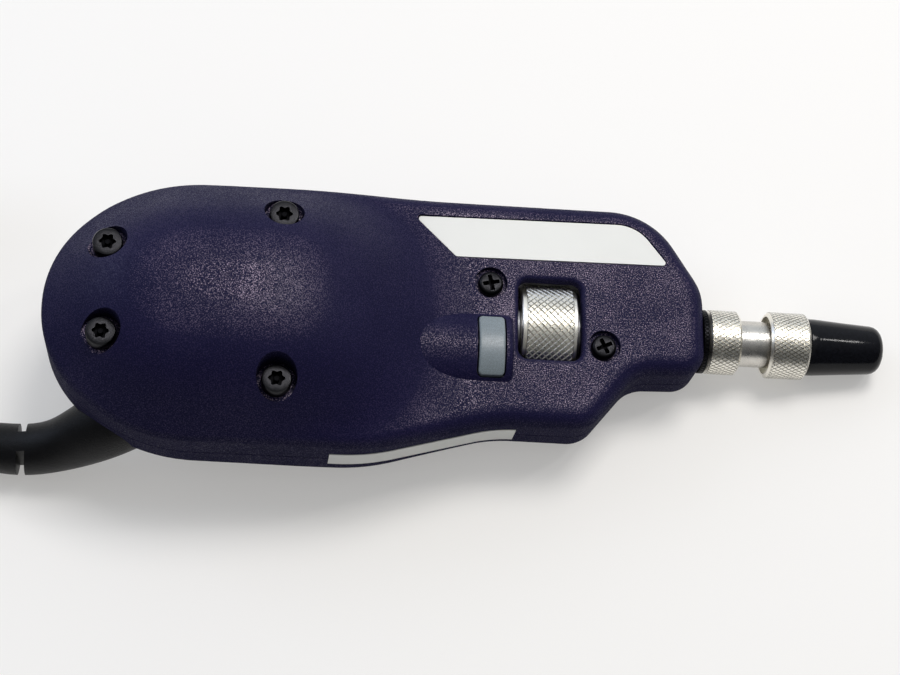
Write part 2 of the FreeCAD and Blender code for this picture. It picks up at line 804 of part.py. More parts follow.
def slot_cutter(name, low, high):
    """Opening for the focus wheel."""
    return padded(name, rectangle("-wheel_centre - slot_length / 2", "-wheel_centre + slot_length / 2",
                                  "-slot_half", "slot_half", "slot_corner"), low, high)


def slot_rim(height):
    """Test for the edges of the wheel slot at a deck's surface."""
    level = value(height)
    middle_x = -value("wheel_centre")
    reach = value("slot_length") / 2 + NEAR
    half = value("slot_half") + NEAR
    return lambda edge, middle: (abs(middle.z - level) < NEAR and abs(middle.x - middle_x) < reach
                                 and abs(middle.y) < half)


def nose_bore(name):
    return cylinder(name, "nipple_radius + screw_gap", "wall + over_cut * 2",
                    ("-wall - over_cut", "0", "0"), ALONG_X)


LABEL_OUTLINE = [
    ("-label_rear", "label_top", "label_corner"),
    ("-label_rear_foot", "label_foot_rear", "label_corner"),
    ("-label_front", "label_foot", "label_corner"),
    ("-label_shoulder_x", "label_top_front", "label_shoulder_radius"),
]


def label_recess():
    return padded("label_recess", LABEL_OUTLINE, "deck_height - label_depth", "crown_height")


def button_opening():
    outline = rectangle("-button_x - button_length / 2", "-button_x + button_length / 2",
                        "-button_y - button_width / 2", "-button_y + button_width / 2", "button_corner")
    return padded("button_opening", outline, "flange_top", "crown_height")


def shell_screws():
    """Socket-head screws of the bulb and pan-head screws of the deck, each kind under one name."""
    caps = [screw("cap_screw_%d" % i, (x, y, seat), "cap_head_radius", "cap_head_height",
                  "cap_shank_radius", "cap_screw_length") for i, (x, y, seat) in enumerate(CAP_SCREWS)]
    node(group("rear_screws", caps), "rear_screws")
    pans = [screw("pan_screw_%d" % i, (x, y, "pan_seat"), "pan_head_radius", "pan_head_height",
                  "pan_shank_radius", "pan_screw_length") for i, (x, y) in enumerate(PAN_SCREWS)]
    node(group("front_screws", pans), "front_screws")


def screw(name, seat, head_radius, head_height, shank_radius, length):
    """Screw standing on its seat, with its shank below."""
    x, y, z = seat
    return fuse(name, cylinder(name + "_head", head_radius, head_height, seat),
                cylinder(name + "_shank", shank_radius, length, (x, y, "%s - %s" % (z, length))))


# Focus and optics


def guide_tube():
    """Tube on the optical axis: a threaded nipple through the nose, slots for the carrier's keys."""
    shoulder = "-wall - seat_gap"
    step = "-wall - nipple_step"
    body = turned("guide_tube_turned", sharp(
        ("-tube_tail", "tube_bore"), ("-tube_tail", "tube_radius"), (shoulder, "tube_radius"),
        (shoulder, "nipple_radius"), ("nipple_front", "nipple_radius"), ("nipple_front", "nipple_bore"),
        (step, "nipple_bore"), (step, "tube_bore")))
    reach = "key_width / 2 + focus_travel + key_gap"
    half = "key_width / 2 + key_gap"
    slots = block("key_slots", ("-wheel_centre - (%s)" % reach, "-tube_radius - over_cut", "-(%s)" % half),
                  ("-wheel_centre + " + reach, "tube_radius + over_cut", half))
    node(cut("guide_tube", body, slots), "guide_tube")


def focus_wheel():
    """Knurled wheel that runs on the guide tube, with the cam groove of the carrier's keys in its bore."""
    half = "wheel_band / 2 + wheel_rim"
    bore = "tube_radius + running_gap"
    rear, front = "-wheel_centre - (%s)" % half, "-wheel_centre + " + half
    band_rear, band_front = "-wheel_centre - wheel_band / 2", "-wheel_centre + wheel_band / 2"
    cam_rear, cam_front = "-wheel_centre - cam_width / 2", "-wheel_centre + cam_width / 2"
    node(turned("focus_wheel", sharp(
        (rear, bore), (rear, "wheel_rim_radius"), (band_rear, "wheel_rim_radius"),
        (band_rear, "wheel_radius"), (band_front, "wheel_radius"), (band_front, "wheel_rim_radius"),
        (front, "wheel_rim_radius"), (front, bore), (cam_front, bore), (cam_front, "cam_radius"),
        (cam_rear, "cam_radius"), (cam_rear, bore))), "focus_wheel")
    rings = [ring("wheel_ring_rear", rear + " - end_gap - ring_thickness", rear + " - end_gap",
                  "tube_radius", "ring_radius"),
             ring("wheel_ring_front", front + " + end_gap", front + " + end_gap + ring_thickness",
                  "tube_radius", "ring_radius")]
    node(group("wheel_retaining_rings", rings), "wheel_retaining_rings")


def ring(name, rear, front, inner, outer):
    return turned(name, sharp((rear, inner), (rear, outer), (front, outer), (front, inner)))


def objective():
    """Lens carrier that slides in the guide tube, its keys, the lens and the ring that holds it."""
    outer = "tube_bore - running_gap"
    rear, front = "-wheel_centre - carrier_length / 2", "-wheel_centre + carrier_length / 2"
    seat = front + " - lens_ring - lens_thickness"
    body = turned("carrier_turned", sharp(
        (rear, "carrier_bore"), (rear, outer), (front, outer), (front, "lens_radius"),
        (seat, "lens_radius"), (seat, "carrier_bore")))
    bar = block("key_bar", ("-wheel_centre - key_width / 2", "-key_reach", "-key_width / 2"),
                ("-wheel_centre + key_width / 2", "key_reach", "key_width / 2"))
    keys = cut("carrier_keys", bar, cylinder("key_light_path", "carrier_bore", "carrier_length",
                                             (rear, "0", "0"), ALONG_X))
    node(fuse("objective_carrier", body, keys), "objective_carrier")
    node(lens("objective_lens", seat, "lens_radius - running_gap", "lens_thickness"), "objective_lens")
    node(ring("lens_retaining_ring", front + " - lens_ring", front, "lens_radius - lens_ring_width",
              "lens_radius - running_gap"), "lens_retaining_ring")


def lens(name, rear, radius, thickness):
    """Lens with a flat rear face and a convex front face."""
    sphere = doc.addObject("Part::Sphere", name + "_sphere")
    curve = "((%s) ^ 2 + lens_bulge ^ 2) / (2 * lens_bulge)" % radius
    sphere.setExpression("Radius", bind(curve))
    place(sphere, ("%s + %s - %s" % (rear, thickness, curve), "0", "0"))
    return common(name, cylinder(name + "_blank", radius, thickness, (rear, "0", "0"), ALONG_X), sphere)


def optics_frame():
    """Cast frame between the decks: two saddles on the guide tube, joined by a rail beside the wheel."""
    rear_front = "-wheel_centre - slot_length / 2 - frame_gap"
    front_rear = "-frame_front - frame_saddle_front"
    rear = rear_front + " - frame_saddle_rear"
    rail = "frame_far - frame_rail"
    body = padded("frame_pad", sharp(
        ("-frame_front", "-frame_near_front"), ("-frame_front", "frame_far"), (rear, "frame_far"),
        (rear, "-frame_near_rear"), (rear_front, "-frame_near_rear"), (rear_front, rail),
        (front_rear, rail), (front_rear, "-frame_near_front")),
        "-keel_height + wall + seat_gap", "deck_height - wall - end_gap")
    bore = cylinder("frame_bore", "tube_radius + running_gap", "body_length / 2",
                    ("-body_length / 2", "0", "0"), ALONG_X)
    threads = [cylinder("frame_thread_%d" % i, "pan_shank_radius + thread_gap",
                        "pan_screw_length + over_cut", (x, y, "pan_seat - pan_screw_length - pilot_room"))
               for i, (x, y) in enumerate(PAN_SCREWS)]
    node(cut("optics_frame", body, bore, *threads), "optics_frame")


def beamsplitter():
    """Block behind the guide tube with the beamsplitter cube, the light source and the tube lens."""
    front = "-tube_tail + mount_seat"
    rear = front + " - mount_length"
    cube = front + " - cube_offset"
    half = "cube_side / 2"
    body = padded("mount_pad", rectangle(rear, front, "-mount_half", "mount_half"), "-board_top",
                  "mount_top")
    loose = "cube_side / 2 + cube_gap"
    pocket = block("cube_pocket", ("%s - (%s)" % (cube, loose), "-mount_half - over_cut", "-(%s)" % loose),
                   ("%s + %s" % (cube, loose), loose, loose))
    behind = (rear + " - over_cut", "0", "0")
    bores = [cylinder("mount_light_path", "light_path", "mount_length + over_cut * 2", behind, ALONG_X),
             cylinder("mount_tube_seat", "tube_radius + running_gap", "mount_seat + over_cut",
                      ("-tube_tail", "0", "0"), ALONG_X),
             cylinder("mount_lens_seat", "tube_lens_radius", "tube_lens_thickness + over_cut", behind,
                      ALONG_X)]
    node(cut("cube_mount", body, pocket, *bores), "cube_mount")
    node(padded("beamsplitter_cube", rectangle("%s - %s" % (cube, half), "%s + %s" % (cube, half),
                                               "-" + half, half), "-" + half, half), "beamsplitter_cube")
    node(lens("tube_lens", rear, "tube_lens_radius - running_gap", "tube_lens_thickness"), "tube_lens")
    node(padded("led_board", rectangle(cube + " - led_board_half", cube + " + led_board_half",
                                       "-mount_half - board", "-mount_half"), "-led_board_half",
                "led_board_half"), "led_board")
    node(padded("illumination_led", rectangle(cube + " - led_side / 2", cube + " + led_side / 2",
                                              "-mount_half", "-mount_half + led_height"), "-led_side / 2",
                "led_side / 2"), "illumination_led")


def boards():
    """Main board on its posts, the sensor board that stands on it, and what they carry."""
    outline = rectangle("-board_rear", "-board_front", "-board_near", "board_far", "board_corner")
    body = padded("main_board_pad", outline, "-board_top - board", "-board_top")
    holes = [cylinder("board_hole_%d" % i, "board_screw_radius + screw_gap", "board + over_cut * 2",
                      (x, y, "-board_top - board - over_cut")) for i, (x, y) in enumerate(BOARD_POSTS)]
    node(cut("main_board", body, *holes), "main_board")
    screws = [screw("board_screw_%d" % i, (x, y, "-board_top"), "board_screw_head",
                    "board_screw_head_height", "board_screw_radius", "board_screw_length")
              for i, (x, y) in enumerate(BOARD_POSTS)]
    node(group("board_screws", screws), "board_screws")
    chips = []
    for i, (x, y, length, width, height) in enumerate(CHIPS):
        edge = "board_far" if y < 0 else "-board_near"
        low = ("-board_rear + %g" % x, "%s + %g" % (edge, y), "-board_top")
        high = tuple("%s + %g" % pair for pair in zip(low, (length, width, height)))
        chips.append(block("chip_%d" % i, low, high))
    node(group("board_components", chips), "board_components")
    socket_rear = "-board_rear + connector_inset"
    socket = rectangle(socket_rear, socket_rear + " + connector_length", "-connector_width / 2",
                       "connector_width / 2")
    node(padded("cord_connector", socket, "-board_top", "-board_top + connector_height"), "cord_connector")
    node(padded("sensor_board", rectangle("-sensor_x - board", "-sensor_x", "-sensor_board_half",
                                          "sensor_board_half"), "-board_top", "sensor_board_top"),
         "sensor_board")
    node(padded("image_sensor", rectangle("-sensor_x", "-sensor_x + sensor_height", "-sensor_side / 2",
                                          "sensor_side / 2"), "-sensor_side / 2", "sensor_side / 2"),
         "image_sensor")


# Capture button


def capture_button():
    """Button set flush in the fairing, its switch and the switch board."""
    dome = cylinder("button_dome", "fairing_radius + button_rise", "button_length",
                    ("-button_x - button_length / 2", "-button_y", "fairing_top - fairing_radius"), ALONG_X)
    near, far = "-button_y - button_width / 2 + button_gap", "-button_y + button_width / 2 - button_gap"
    rear = "-button_x - button_length / 2 + button_gap"
    front = "-button_x + button_length / 2 - button_gap"
    corner = "button_corner - button_gap"
    crown = common("button_crown", padded("button_blank", rectangle(rear, front, near, far, corner),
                                          "button_foot", "crown_height"), dome)
    soft = rounded("button_soft", crown, "button_edge",
                   lambda edge, middle: middle.z > value("deck_height") and not is_upright(edge))
    stem = padded("button_stem", rectangle(rear, front, near, "-flange_far", corner),
                  "flange_top - flange_thickness", "button_foot")
    flange = block("button_flange", (rear + " - flange_margin", near + " - flange_margin",
                                     "flange_top - flange_thickness"),
                   (front + " + flange_margin", "-flange_far", "flange_top"))
    node(fuse("capture_button", soft, stem, flange), "capture_button")
    plunger_low = "switch_board_top + switch_height - button_travel - plunger_lap"
    node(turned_upright("switch_plunger", "-button_x", "-switch_y", "plunger_radius", plunger_low,
                        "flange_top - flange_thickness"), "switch_plunger")
    case = padded("switch_case", rectangle("-button_x - switch_side / 2", "-button_x + switch_side / 2",
                                           "-switch_y - switch_side / 2", "-switch_y + switch_side / 2"),
                  "switch_board_top", "switch_board_top + switch_height")
    bore = cylinder("switch_bore", "plunger_radius + key_gap", "switch_height",
                    ("-button_x", "-switch_y", plunger_low + " - button_travel - end_gap"))
    node(cut("button_switch", case, bore), "button_switch")
    node(padded("switch_board", rectangle("-switch_board_rear", "-switch_board_front", "-switch_board_near",
                                          "-switch_board_far"), "switch_board_top - board",
                "switch_board_top"), "switch_board")


def turned_upright(name, x, y, radius, low, high):
    """Upright pin under its own name."""
    return group(name, [cylinder(name + "_pin", radius, "(%s) - (%s)" % (high, low), (x, y, low))])


# Labels


def labels():
    """Bare label plate in the deck's recess, and the bare strip along the near wall."""
    recess = doc.getObject("label_recess_pad_outline")
    inset = doc.addObject("Part::Offset2D", "label_plan")
    inset.Source = recess
    inset.setExpression("Value", bind("-label_gap"))
    plate = doc.addObject("Part::Extrusion", "face_label")
    plate.Base = inset
    plate.DirMode = "Custom"
    plate.Dir = Vector(0, 0, 1)
    plate.Solid = True
    plate.setExpression("LengthFwd", bind("label_thickness"))
    node(plate, "face_label")
    skin = cut("strip_ring", outline_prism("strip_outer", "-strip_half_height", "strip_half_height",
                                           "strip_thickness"),
               outline_prism("strip_inner", "-strip_half_height", "strip_half_height"))
    window = block("strip_window", ("-strip_rear", "-near_side - skin_margin", "-strip_half_height"),
                   ("-strip_front", "-grip_near + skin_margin", "strip_half_height"))
    node(common("side_label", skin, window), "side_label")


# Tip


def tip():
    """Collar, barrel and its nut, inspection tip and its nut, and the dust cap over the tip."""
    node(ring("nose_collar", "seat_gap", "collar_length", "nipple_radius + screw_gap", "collar_radius"),
         "nose_collar")
    barrel_rear = "nipple_front + seat_gap"
    flange_front = barrel_rear + " + barrel_flange"
    step = flange_front + " + seat_gap"
    neck, hollow, thread = ("barrel_radius + seat_gap", "barrel_flange_radius + seat_gap",
                            "nipple_radius + running_gap")
    node(nut("barrel_nut", "nut_one_radius", "nut_one_rear", "nut_one_front", [
        ("nut_one_front", neck), (step, neck), (step, hollow), ("nipple_front", hollow),
        ("nipple_front", thread), ("nut_one_rear", thread)]), "barrel_nut")
    node(turned("tip_barrel", sharp(
        (barrel_rear, "barrel_bore"), (barrel_rear, "barrel_flange_radius"),
        (flange_front, "barrel_flange_radius"), (flange_front, "barrel_radius"),
        ("barrel_front", "barrel_radius"), ("barrel_front", "spigot_radius"),
        ("spigot_front", "spigot_radius"), ("spigot_front", "barrel_bore"))), "tip_barrel")
    tip_rear = "spigot_front + seat_gap"
    tip_flange_front = tip_rear + " + tip_flange"
    hollow_front = "nut_two_rear + nut_two_hollow_depth"
    step = tip_flange_front + " + seat_gap"
    neck, hollow, thread = ("tip_radius + seat_gap", "tip_flange_radius + seat_gap",
                            "spigot_radius + running_gap")
    node(nut("tip_nut", "nut_two_radius", "nut_two_rear", "nut_two_front", [
        ("nut_two_front", neck), (step, neck), (step, hollow), ("spigot_front", hollow),
        ("spigot_front", thread), (hollow_front, thread), (hollow_front, "nut_two_hollow"),
        ("nut_two_rear", "nut_two_hollow")]), "tip_nut")
    ferrule_end = "tip_front - ferrule_depth"
    node(turned("inspection_tip", sharp(
        (tip_rear, "tip_bore"), (tip_rear, "tip_flange_radius"), (tip_flange_front, "tip_flange_radius"),
        (tip_flange_front, "tip_radius"), ("tip_shoulder", "tip_radius"), ("tip_front", "tip_nose_radius"),
        ("tip_front", "ferrule_bore"), (ferrule_end, "ferrule_bore"), (ferrule_end, "tip_bore"))),
        "inspection_tip")
    cap_rear = "nut_two_front + seat_gap"
    cap_floor = "cap_front - cap_wall"
    node(turned("dust_cap", [
        (cap_rear, "tip_radius + seat_gap", "0"), (cap_rear, "cap_root_radius", "cap_root_round"),
        ("cap_front", "cap_end_radius", "cap_end_round"), ("cap_front", "0", "0"), (cap_floor, "0", "0"),
        (cap_floor, "tip_radius + seat_gap", "0")]), "dust_cap")


def nut(name, radius, rear, front, inside):
    """Knurled nut: chamfered outside, and an inside profile given from its front end."""
    edge = "%s - nut_chamfer" % radius
    return turned(name, sharp((rear, edge), (rear + " + nut_chamfer", radius),
                              (front + " - nut_chamfer", radius), (front, edge), *inside))


# Strain relief


def table_turn():
    """Rotation that lays the probe on the table."""
    return Rotation(Vector(0, 1, 0), math.degrees(math.atan(rest_slope())))


def boot_axis():
    """Stations of the strain relief's axis in the probe's frame."""
    leave = Vector(value("-exit_x"), value("-exit_y"), value("-exit_z"))
    back = table_turn().inverted()
    return [leave + back.multVec(Vector(*step)) for step in BOOT_ROUTE]


def exit_rod(name, radius, start, end):
    """Rod along the cord's exit from the lower shell, between two places on its axis."""
    axis = boot_axis()
    ahead = (axis[2] - axis[0]).normalize()
    rod = doc.addObject("Part::Cylinder", name)
    rod.setExpression("Radius", bind(radius))
    rod.setExpression("Height", bind("(%s) - (%s)" % (end, start)))
    rod.Placement = Placement(axis[1] + ahead * value(start), Rotation(Vector(0, 0, 1), ahead))
    return rod


def strain_relief(upper, lower, cavity):
    """Flexible boot seated in the lower shell: inner flange, neck, tapered outside and cross-cut slots."""
    axis = boot_axis()
    radii = ["boot_base_radius", "boot_base_radius", "boot_waist_radius", "boot_middle_radius",
             "boot_radius", "boot_end_radius"]
    sections = []
    for i, (point, radius) in enumerate(zip(axis, radii)):
        ahead = (axis[min(i + 1, len(axis) - 1)] - axis[max(i - 1, 0)]).normalize()
        circle = doc.addObject("Part::Circle", "boot_section_%d" % i)
        circle.setExpression("Radius", bind(radius))
        circle.Placement = Placement(point, Rotation(Vector(0, 0, 1), ahead))
        sections.append(circle)
    loft = doc.addObject("Part::Loft", "boot_loft")
    loft.Sections = sections
    loft.Solid = True
    outside = cut("boot_outside", loft, lower, upper)
    neck = common("boot_neck", exit_rod("boot_neck_rod", "boot_neck_radius", "-neck_inside",
                                        "neck_outside"), lower)
    flange = common("boot_flange", exit_rod("boot_flange_rod", "boot_flange_radius", "-neck_inside", "0"),
                    cavity)
    whole = fuse("boot_whole", outside, neck, flange)
    node(cut("strain_relief", whole, *boot_slots(axis)), "strain_relief")


def boot_slots(axis):
    tools = []
    for i, (distance, on_sides) in enumerate(BOOT_SLOTS):
        x = axis[1].x - distance
        after = [k for k in range(1, len(axis)) if axis[k].x < x][0]
        share = (x - axis[after - 1].x) / (axis[after].x - axis[after - 1].x)
        middle = axis[after - 1] + (axis[after] - axis[after - 1]) * share
        core, wide = value("boot_radius - boot_slot_depth"), value("boot_slot_reach")
        for side in (-1, 1):
            box = doc.addObject("Part::Box", "boot_slot_%d_%s" % (i, "low" if side < 0 else "high"))
            box.setExpression("Length", bind("boot_slot"))
            box.setExpression("Width", bind("boot_slot_reach"))
            box.setExpression("Height", bind("boot_slot_reach"))
            low = core if side > 0 else -core - wide
            offset = Vector(0, low, -wide / 2) if on_sides else Vector(0, -wide / 2, low)
            box.Placement = Placement(middle + offset, Rotation())
            tools.append(box)
    return tools


# Cord, coil and plug, laid on the table


def cord_path(points):
    """Straight runs joined by tangent arcs, each arc as large as its two runs allow."""
    edges = []
    start = points[0]
    radii = []
    for before, corner, after in zip(points, points[1:], points[2:]):
        back = (before - corner).normalize()
        ahead = (after - corner).normalize()
        half_turn = (math.pi - back.getAngle(ahead)) / 2
        setback = ARC_SHARE * min((before - corner).Length, (after - corner).Length)
        radii.append(setback / math.tan(half_turn))
        first, last = corner + back * setback, corner + ahead * setback
        inward = (back + ahead).normalize()
        middle = corner + inward * (radii[-1] / math.cos(half_turn) - radii[-1])
        edges.append(Part.LineSegment(start, first).toShape())
        edges.append(Part.Arc(first, middle, last).toShape())
        start = last
    edges.append(Part.LineSegment(start, points[-1]).toShape())
    return Part.Wire(edges), radii


def cord_tube(name, points):
    """Plain tube of the cord along its route."""
    path, radii = cord_path(points)
    radius = value("cord_diameter") / 2
    ahead = (points[1] - points[0]).normalize()
    ends = Part.Wire(Part.Circle(points[0], ahead, radius).toShape())
    piece = doc.addObject("Part::Feature", name)
    piece.Shape = path.makePipeShell([ends], True, False)
    section = math.pi * radius * radius
    print(name, "radii", ["%.0f" % r for r in radii], "length %.1f" % path.Length,
          "volume share %.4f" % (piece.Shape.Volume / (section * path.Length)))
    return node(piece, name)


def cord(mouth):
    """Cord from the strain relief's mouth, its coil with the tie, and the plug at its end."""
    route = [mouth + Vector(*step) for step in CORD_ROUTE]
    cord_tube("cord_run", route)
    ahead = (route[-1] - route[-2]).normalize()
    aside = Vector(ahead.y, -ahead.x, 0).normalize()
    layer = value("coil_mean_radius + coil_width / 2 - cord_diameter / 2")
    centre = Vector(route[-1].x, route[-1].y, 0) + aside * layer
    coil = new_body("cord_coil")
    sketch = new_sketch(coil, "cord_coil_section", "XZ_Plane")
    inside, outside = "coil_mean_radius - coil_width / 2", "coil_mean_radius + coil_width / 2"
    corner_outline(sketch, rectangle(inside, outside, "tie_thickness", "tie_thickness + coil_height",
                                     "coil_corner"))
    turn = coil.newObject("PartDesign::Revolution", "cord_coil_turn")
    turn.Profile = sketch
    turn.ReferenceAxis = (sketch, ["V_Axis"])
    turn.Angle = 360
    coil.Placement = Placement(centre, Rotation())
    node(coil, "cord_coil")
    inner, outer = inside + " - tie_inner_gap", outside + " + tie_gap"
    top = "tie_thickness + coil_height + tie_gap"
    band = padded("tie_band", rectangle("-tie_width / 2", "tie_width / 2", inner + " - tie_thickness",
                                        outer + " + tie_thickness", "tie_corner"), "0",
                  top + " + tie_thickness")
    hole = block("tie_hole", ("-tie_width", inner, "tie_thickness"), ("tie_width", outer, top))
    tie = cut("coil_tie", band, hole)
    tie.Placement = Placement(centre, Rotation(Vector(0, 0, 1), TIE_ANGLE))
    node(tie, "coil_tie")
    tail = [centre + Vector(*step) for step in TAIL_ROUTE]
    cord_tube("cord_tail", tail)
    plug(tail[-1], tail[-1] - tail[-2])


def plug(rear, ahead):
    """USB plug lying flat on the coil: overmoulded body, folded shell, tongue and its four contacts."""
    heading = Rotation(Vector(0, 0, 1), math.degrees(math.atan2(ahead.y, ahead.x)))
    lie = Placement(Vector(rear.x, rear.y, value("tie_thickness + coil_height")), heading)
    middle = "plug_thickness / 2"
    outline = rectangle("0", "plug_length", "-plug_width / 2", "plug_width / 2", "plug_round")
    body = padded("plug_body", outline, "0", "plug_thickness")
    tube = padded("shell_tube", rectangle("plug_length", "plug_length + shell_length", "-shell_width / 2",
                                          "shell_width / 2"), middle + " - shell_height / 2",
                  middle + " + shell_height / 2")
    hollow = block("shell_hollow", ("plug_length - over_cut", "-shell_width / 2 + shell_sheet",
                                    middle + " - shell_height / 2 + shell_sheet"),
                   ("plug_length + shell_length + over_cut", "shell_width / 2 - shell_sheet",
                    middle + " + shell_height / 2 - shell_sheet"))
    shell = cut("plug_shell", tube, hollow)
    tongue_low = middle + " + shell_height / 2 - shell_sheet - tongue_height"
    outline = rectangle("plug_length", "plug_length + tongue_length", "-tongue_width / 2",
                        "tongue_width / 2")
    tongue = padded("plug_tongue", outline, tongue_low, tongue_low + " + tongue_height")
    strips = []
    for i, step in enumerate(CONTACT_STEPS):
        low = ("plug_length + contact_start", "%g * contact_pitch - contact_width / 2" % step,
               tongue_low + " - contact_thickness")
        high = ("plug_length + tongue_length - contact_end",
                "%g * contact_pitch + contact_width / 2" % step, tongue_low)
        strips.append(block("contact_%d" % i, low, high))
    contacts = group("plug_contacts", strips)
    for piece, name in ((body, "plug_body"), (shell, "plug_shell"), (tongue, "plug_tongue"),
                        (contacts, "plug_contacts")):
        piece.Placement = lie
        node(piece, name)


# Build


def lay_on_table():
    """Turn every piece onto the table, with the origin under the middle of the probe's box."""
    turn = table_turn()
    for piece in nodes:
        piece.Placement = Placement(Vector(), turn).multiply(piece.Placement)
    doc.recompute()
    box = FreeCAD.BoundBox()
    for piece in nodes:
        box.add(piece.Shape.optimalBoundingBox(False, False))
    shift = Vector(-box.Center.x, -box.Center.y, -box.ZMin)
    for piece in nodes:
        piece.Placement = Placement(shift, Rotation()).multiply(piece.Placement)
    doc.recompute()
    print("lie: turn %.4f deg, shift %.4f %.4f %.4f"
          % (math.degrees(turn.Angle), shift.x, shift.y, shift.z))
    return Placement(shift, turn)


def check():
    """Stop before anything is written if a piece failed."""
    for piece in doc.Objects:
        if "Invalid" in piece.State or "Error" in piece.State:
            raise RuntimeError("%s failed: %s" % (piece.Name, piece.State))
    for piece in nodes:
        if piece.Shape.isNull() or not piece.Shape.isValid():
            raise RuntimeError("%s has no valid shape" % piece.Label)


def main():
    fill_sheet()
    upper = upper_shell()
    lower, cavity = lower_shell()
    shell_screws()
    guide_tube()
    focus_wheel()
    objective()
    optics_frame()
    beamsplitter()
    boards()
    capture_button()
    labels()
    tip()
    strain_relief(upper, lower, cavity)
    doc.recompute()
    lie = lay_on_table()
    cord(lie.multVec(boot_axis()[-1]))
    doc.recompute()
    check()
    os.makedirs("parts", exist_ok=True)
    for piece in nodes:
        piece.Shape.exportStep("parts/%s.step" % piece.Label)
    print(len(nodes), "nodes")


main()
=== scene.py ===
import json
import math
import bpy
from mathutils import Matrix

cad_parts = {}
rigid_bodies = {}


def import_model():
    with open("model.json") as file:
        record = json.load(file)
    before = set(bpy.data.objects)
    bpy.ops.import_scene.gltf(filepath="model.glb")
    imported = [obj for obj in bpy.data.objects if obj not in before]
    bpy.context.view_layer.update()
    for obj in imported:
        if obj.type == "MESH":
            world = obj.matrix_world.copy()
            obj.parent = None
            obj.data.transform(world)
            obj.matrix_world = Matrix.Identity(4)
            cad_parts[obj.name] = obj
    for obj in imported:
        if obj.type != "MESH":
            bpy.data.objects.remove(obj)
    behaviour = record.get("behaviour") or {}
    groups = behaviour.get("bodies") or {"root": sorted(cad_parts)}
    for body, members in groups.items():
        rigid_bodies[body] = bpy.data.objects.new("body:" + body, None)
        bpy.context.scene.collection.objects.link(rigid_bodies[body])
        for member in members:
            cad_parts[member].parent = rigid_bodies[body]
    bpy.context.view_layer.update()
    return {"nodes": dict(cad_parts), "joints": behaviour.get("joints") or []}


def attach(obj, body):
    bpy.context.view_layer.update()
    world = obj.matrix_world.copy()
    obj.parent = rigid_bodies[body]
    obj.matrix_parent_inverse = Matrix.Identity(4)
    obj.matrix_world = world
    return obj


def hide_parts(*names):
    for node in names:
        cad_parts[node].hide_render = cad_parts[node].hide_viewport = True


bl_info = {
    "name": "Fiber Inspection Microscope",
    "version": (1, 0, 0),
    "blender": (4, 5, 0),
    "location": "View3D > Sidebar > Microscope",
    "description": "Surfaces, knurled parts, cord and studio of a hand-held fiber inspection microscope",
    "category": "Add Mesh",
}

import bmesh
import bpy
from bpy.props import FloatProperty, FloatVectorProperty, IntProperty, PointerProperty
from mathutils import Matrix, Vector

for leftover in list(bpy.data.objects):
    bpy.data.objects.remove(leftover)
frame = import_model()

# The probe's own frame, in millimetres: x along the optical axis to the tip, nose face at 0, z up
MM = 0.001
WHEEL_CENTRE = -30.2
FOCUS = next(joint for joint in frame["joints"] if joint["name"] == "focus_turn")
AXIS = Vector(FOCUS["axis"]).normalized()
UP = Vector((-AXIS.z, 0.0, AXIS.x))
NOSE = Vector(FOCUS["pos_m"]) - AXIS * WHEEL_CENTRE * MM
PROBE = Matrix((AXIS, (0.0, 1.0, 0.0), UP)).transposed().to_4x4()
PROBE.translation = NOSE
IN_PROBE = PROBE @ Matrix.Scale(MM, 4)

# Turns a shape made round z into one round x
ROUND_X = Matrix(((0, 0, 1, 0), (1, 0, 0, 0), (0, 1, 0, 0), (0, 0, 0, 1)))
FULL_TURN = 2.0 * math.pi
# Points of a shape nearer than this, in millimetres, become one
WELD = 0.0005
SMOOTH_ANGLE = math.radians(35.0)
CORNER_SEGMENTS = 5
RING_SEGMENTS = 48
PLUG_SEGMENTS = 64

# Turned parts, as (x, radius) in the probe's frame; of a knurled part, what closes its band
BARREL_NUT = ((7.65, 5.7), (7.65, 4.55), (6.5, 4.55), (6.5, 5.05), (5.5, 5.05), (5.5, 4.04), (1.35, 4.04),
              (1.35, 5.7))
TIP_NUT = ((21.2, 5.95), (21.2, 3.75), (19.7, 3.75), (19.7, 4.55), (18.6, 4.55), (18.6, 3.94), (15.2, 3.94),
           (15.2, 5.6), (13.4, 5.6), (13.4, 5.95))
COLLAR = ((1.3, 5.9), (1.3, 4.1), (0.05, 4.1), (0.05, 5.9))
BARREL = ((5.55, 3.0), (5.55, 5.0), (6.45, 5.0), (6.45, 4.5), (15.0, 4.5), (15.0, 3.9), (18.6, 3.9),
          (18.6, 3.0))
TIP = ((18.65, 2.2), (18.65, 4.5), (19.65, 4.5), (19.65, 3.7), (31.0, 3.7), (34.0, 2.4), (34.0, 1.255),
       (26.0, 1.255), (26.0, 2.2))
CAP = ((21.25, 3.75), (21.25, 5.5), (22.4, 5.6), (29.0, 5.1), (36.5, 4.6), (36.5, 0.0), (34.9, 0.0),
       (34.9, 3.75))
# Slant of the nuts' grooves: their step round the axis over that along it
NUT_SLANT = math.tan(math.radians(33.0))

# Seats of the screws in the probe's frame: x, y and z of the socket heads, and x, y and turn in degrees of
# the pan heads, which share one height
SOCKET_SEATS = ((-113.6, -10.3, 14.2), (-113.6, 7.1, 14.2), (-81.6, -17.7, 14.4), (-81.6, 14.5, 14.4))
PAN_SEATS = ((-19.85, -4.9, 25.0), (-41.6, 6.8, 12.0))
PAN_HEIGHT = 6.6
# Outsides of the screws from the mouth of the recess to the end of the shank, as (radius, height)
SOCKET_OUTSIDE = ((2.25, 3.0), (2.6, 2.9), (2.75, 2.65), (2.75, 0.0), (1.5, 0.0), (1.5, -21.6), (1.1, -22.0))
PAN_OUTSIDE = ((1.8, 1.5), (2.05, 1.4), (2.28, 1.15), (2.4, 0.75), (2.4, 0.0), (1.25, 0.0), (1.25, -3.4),
               (0.9, -3.6))

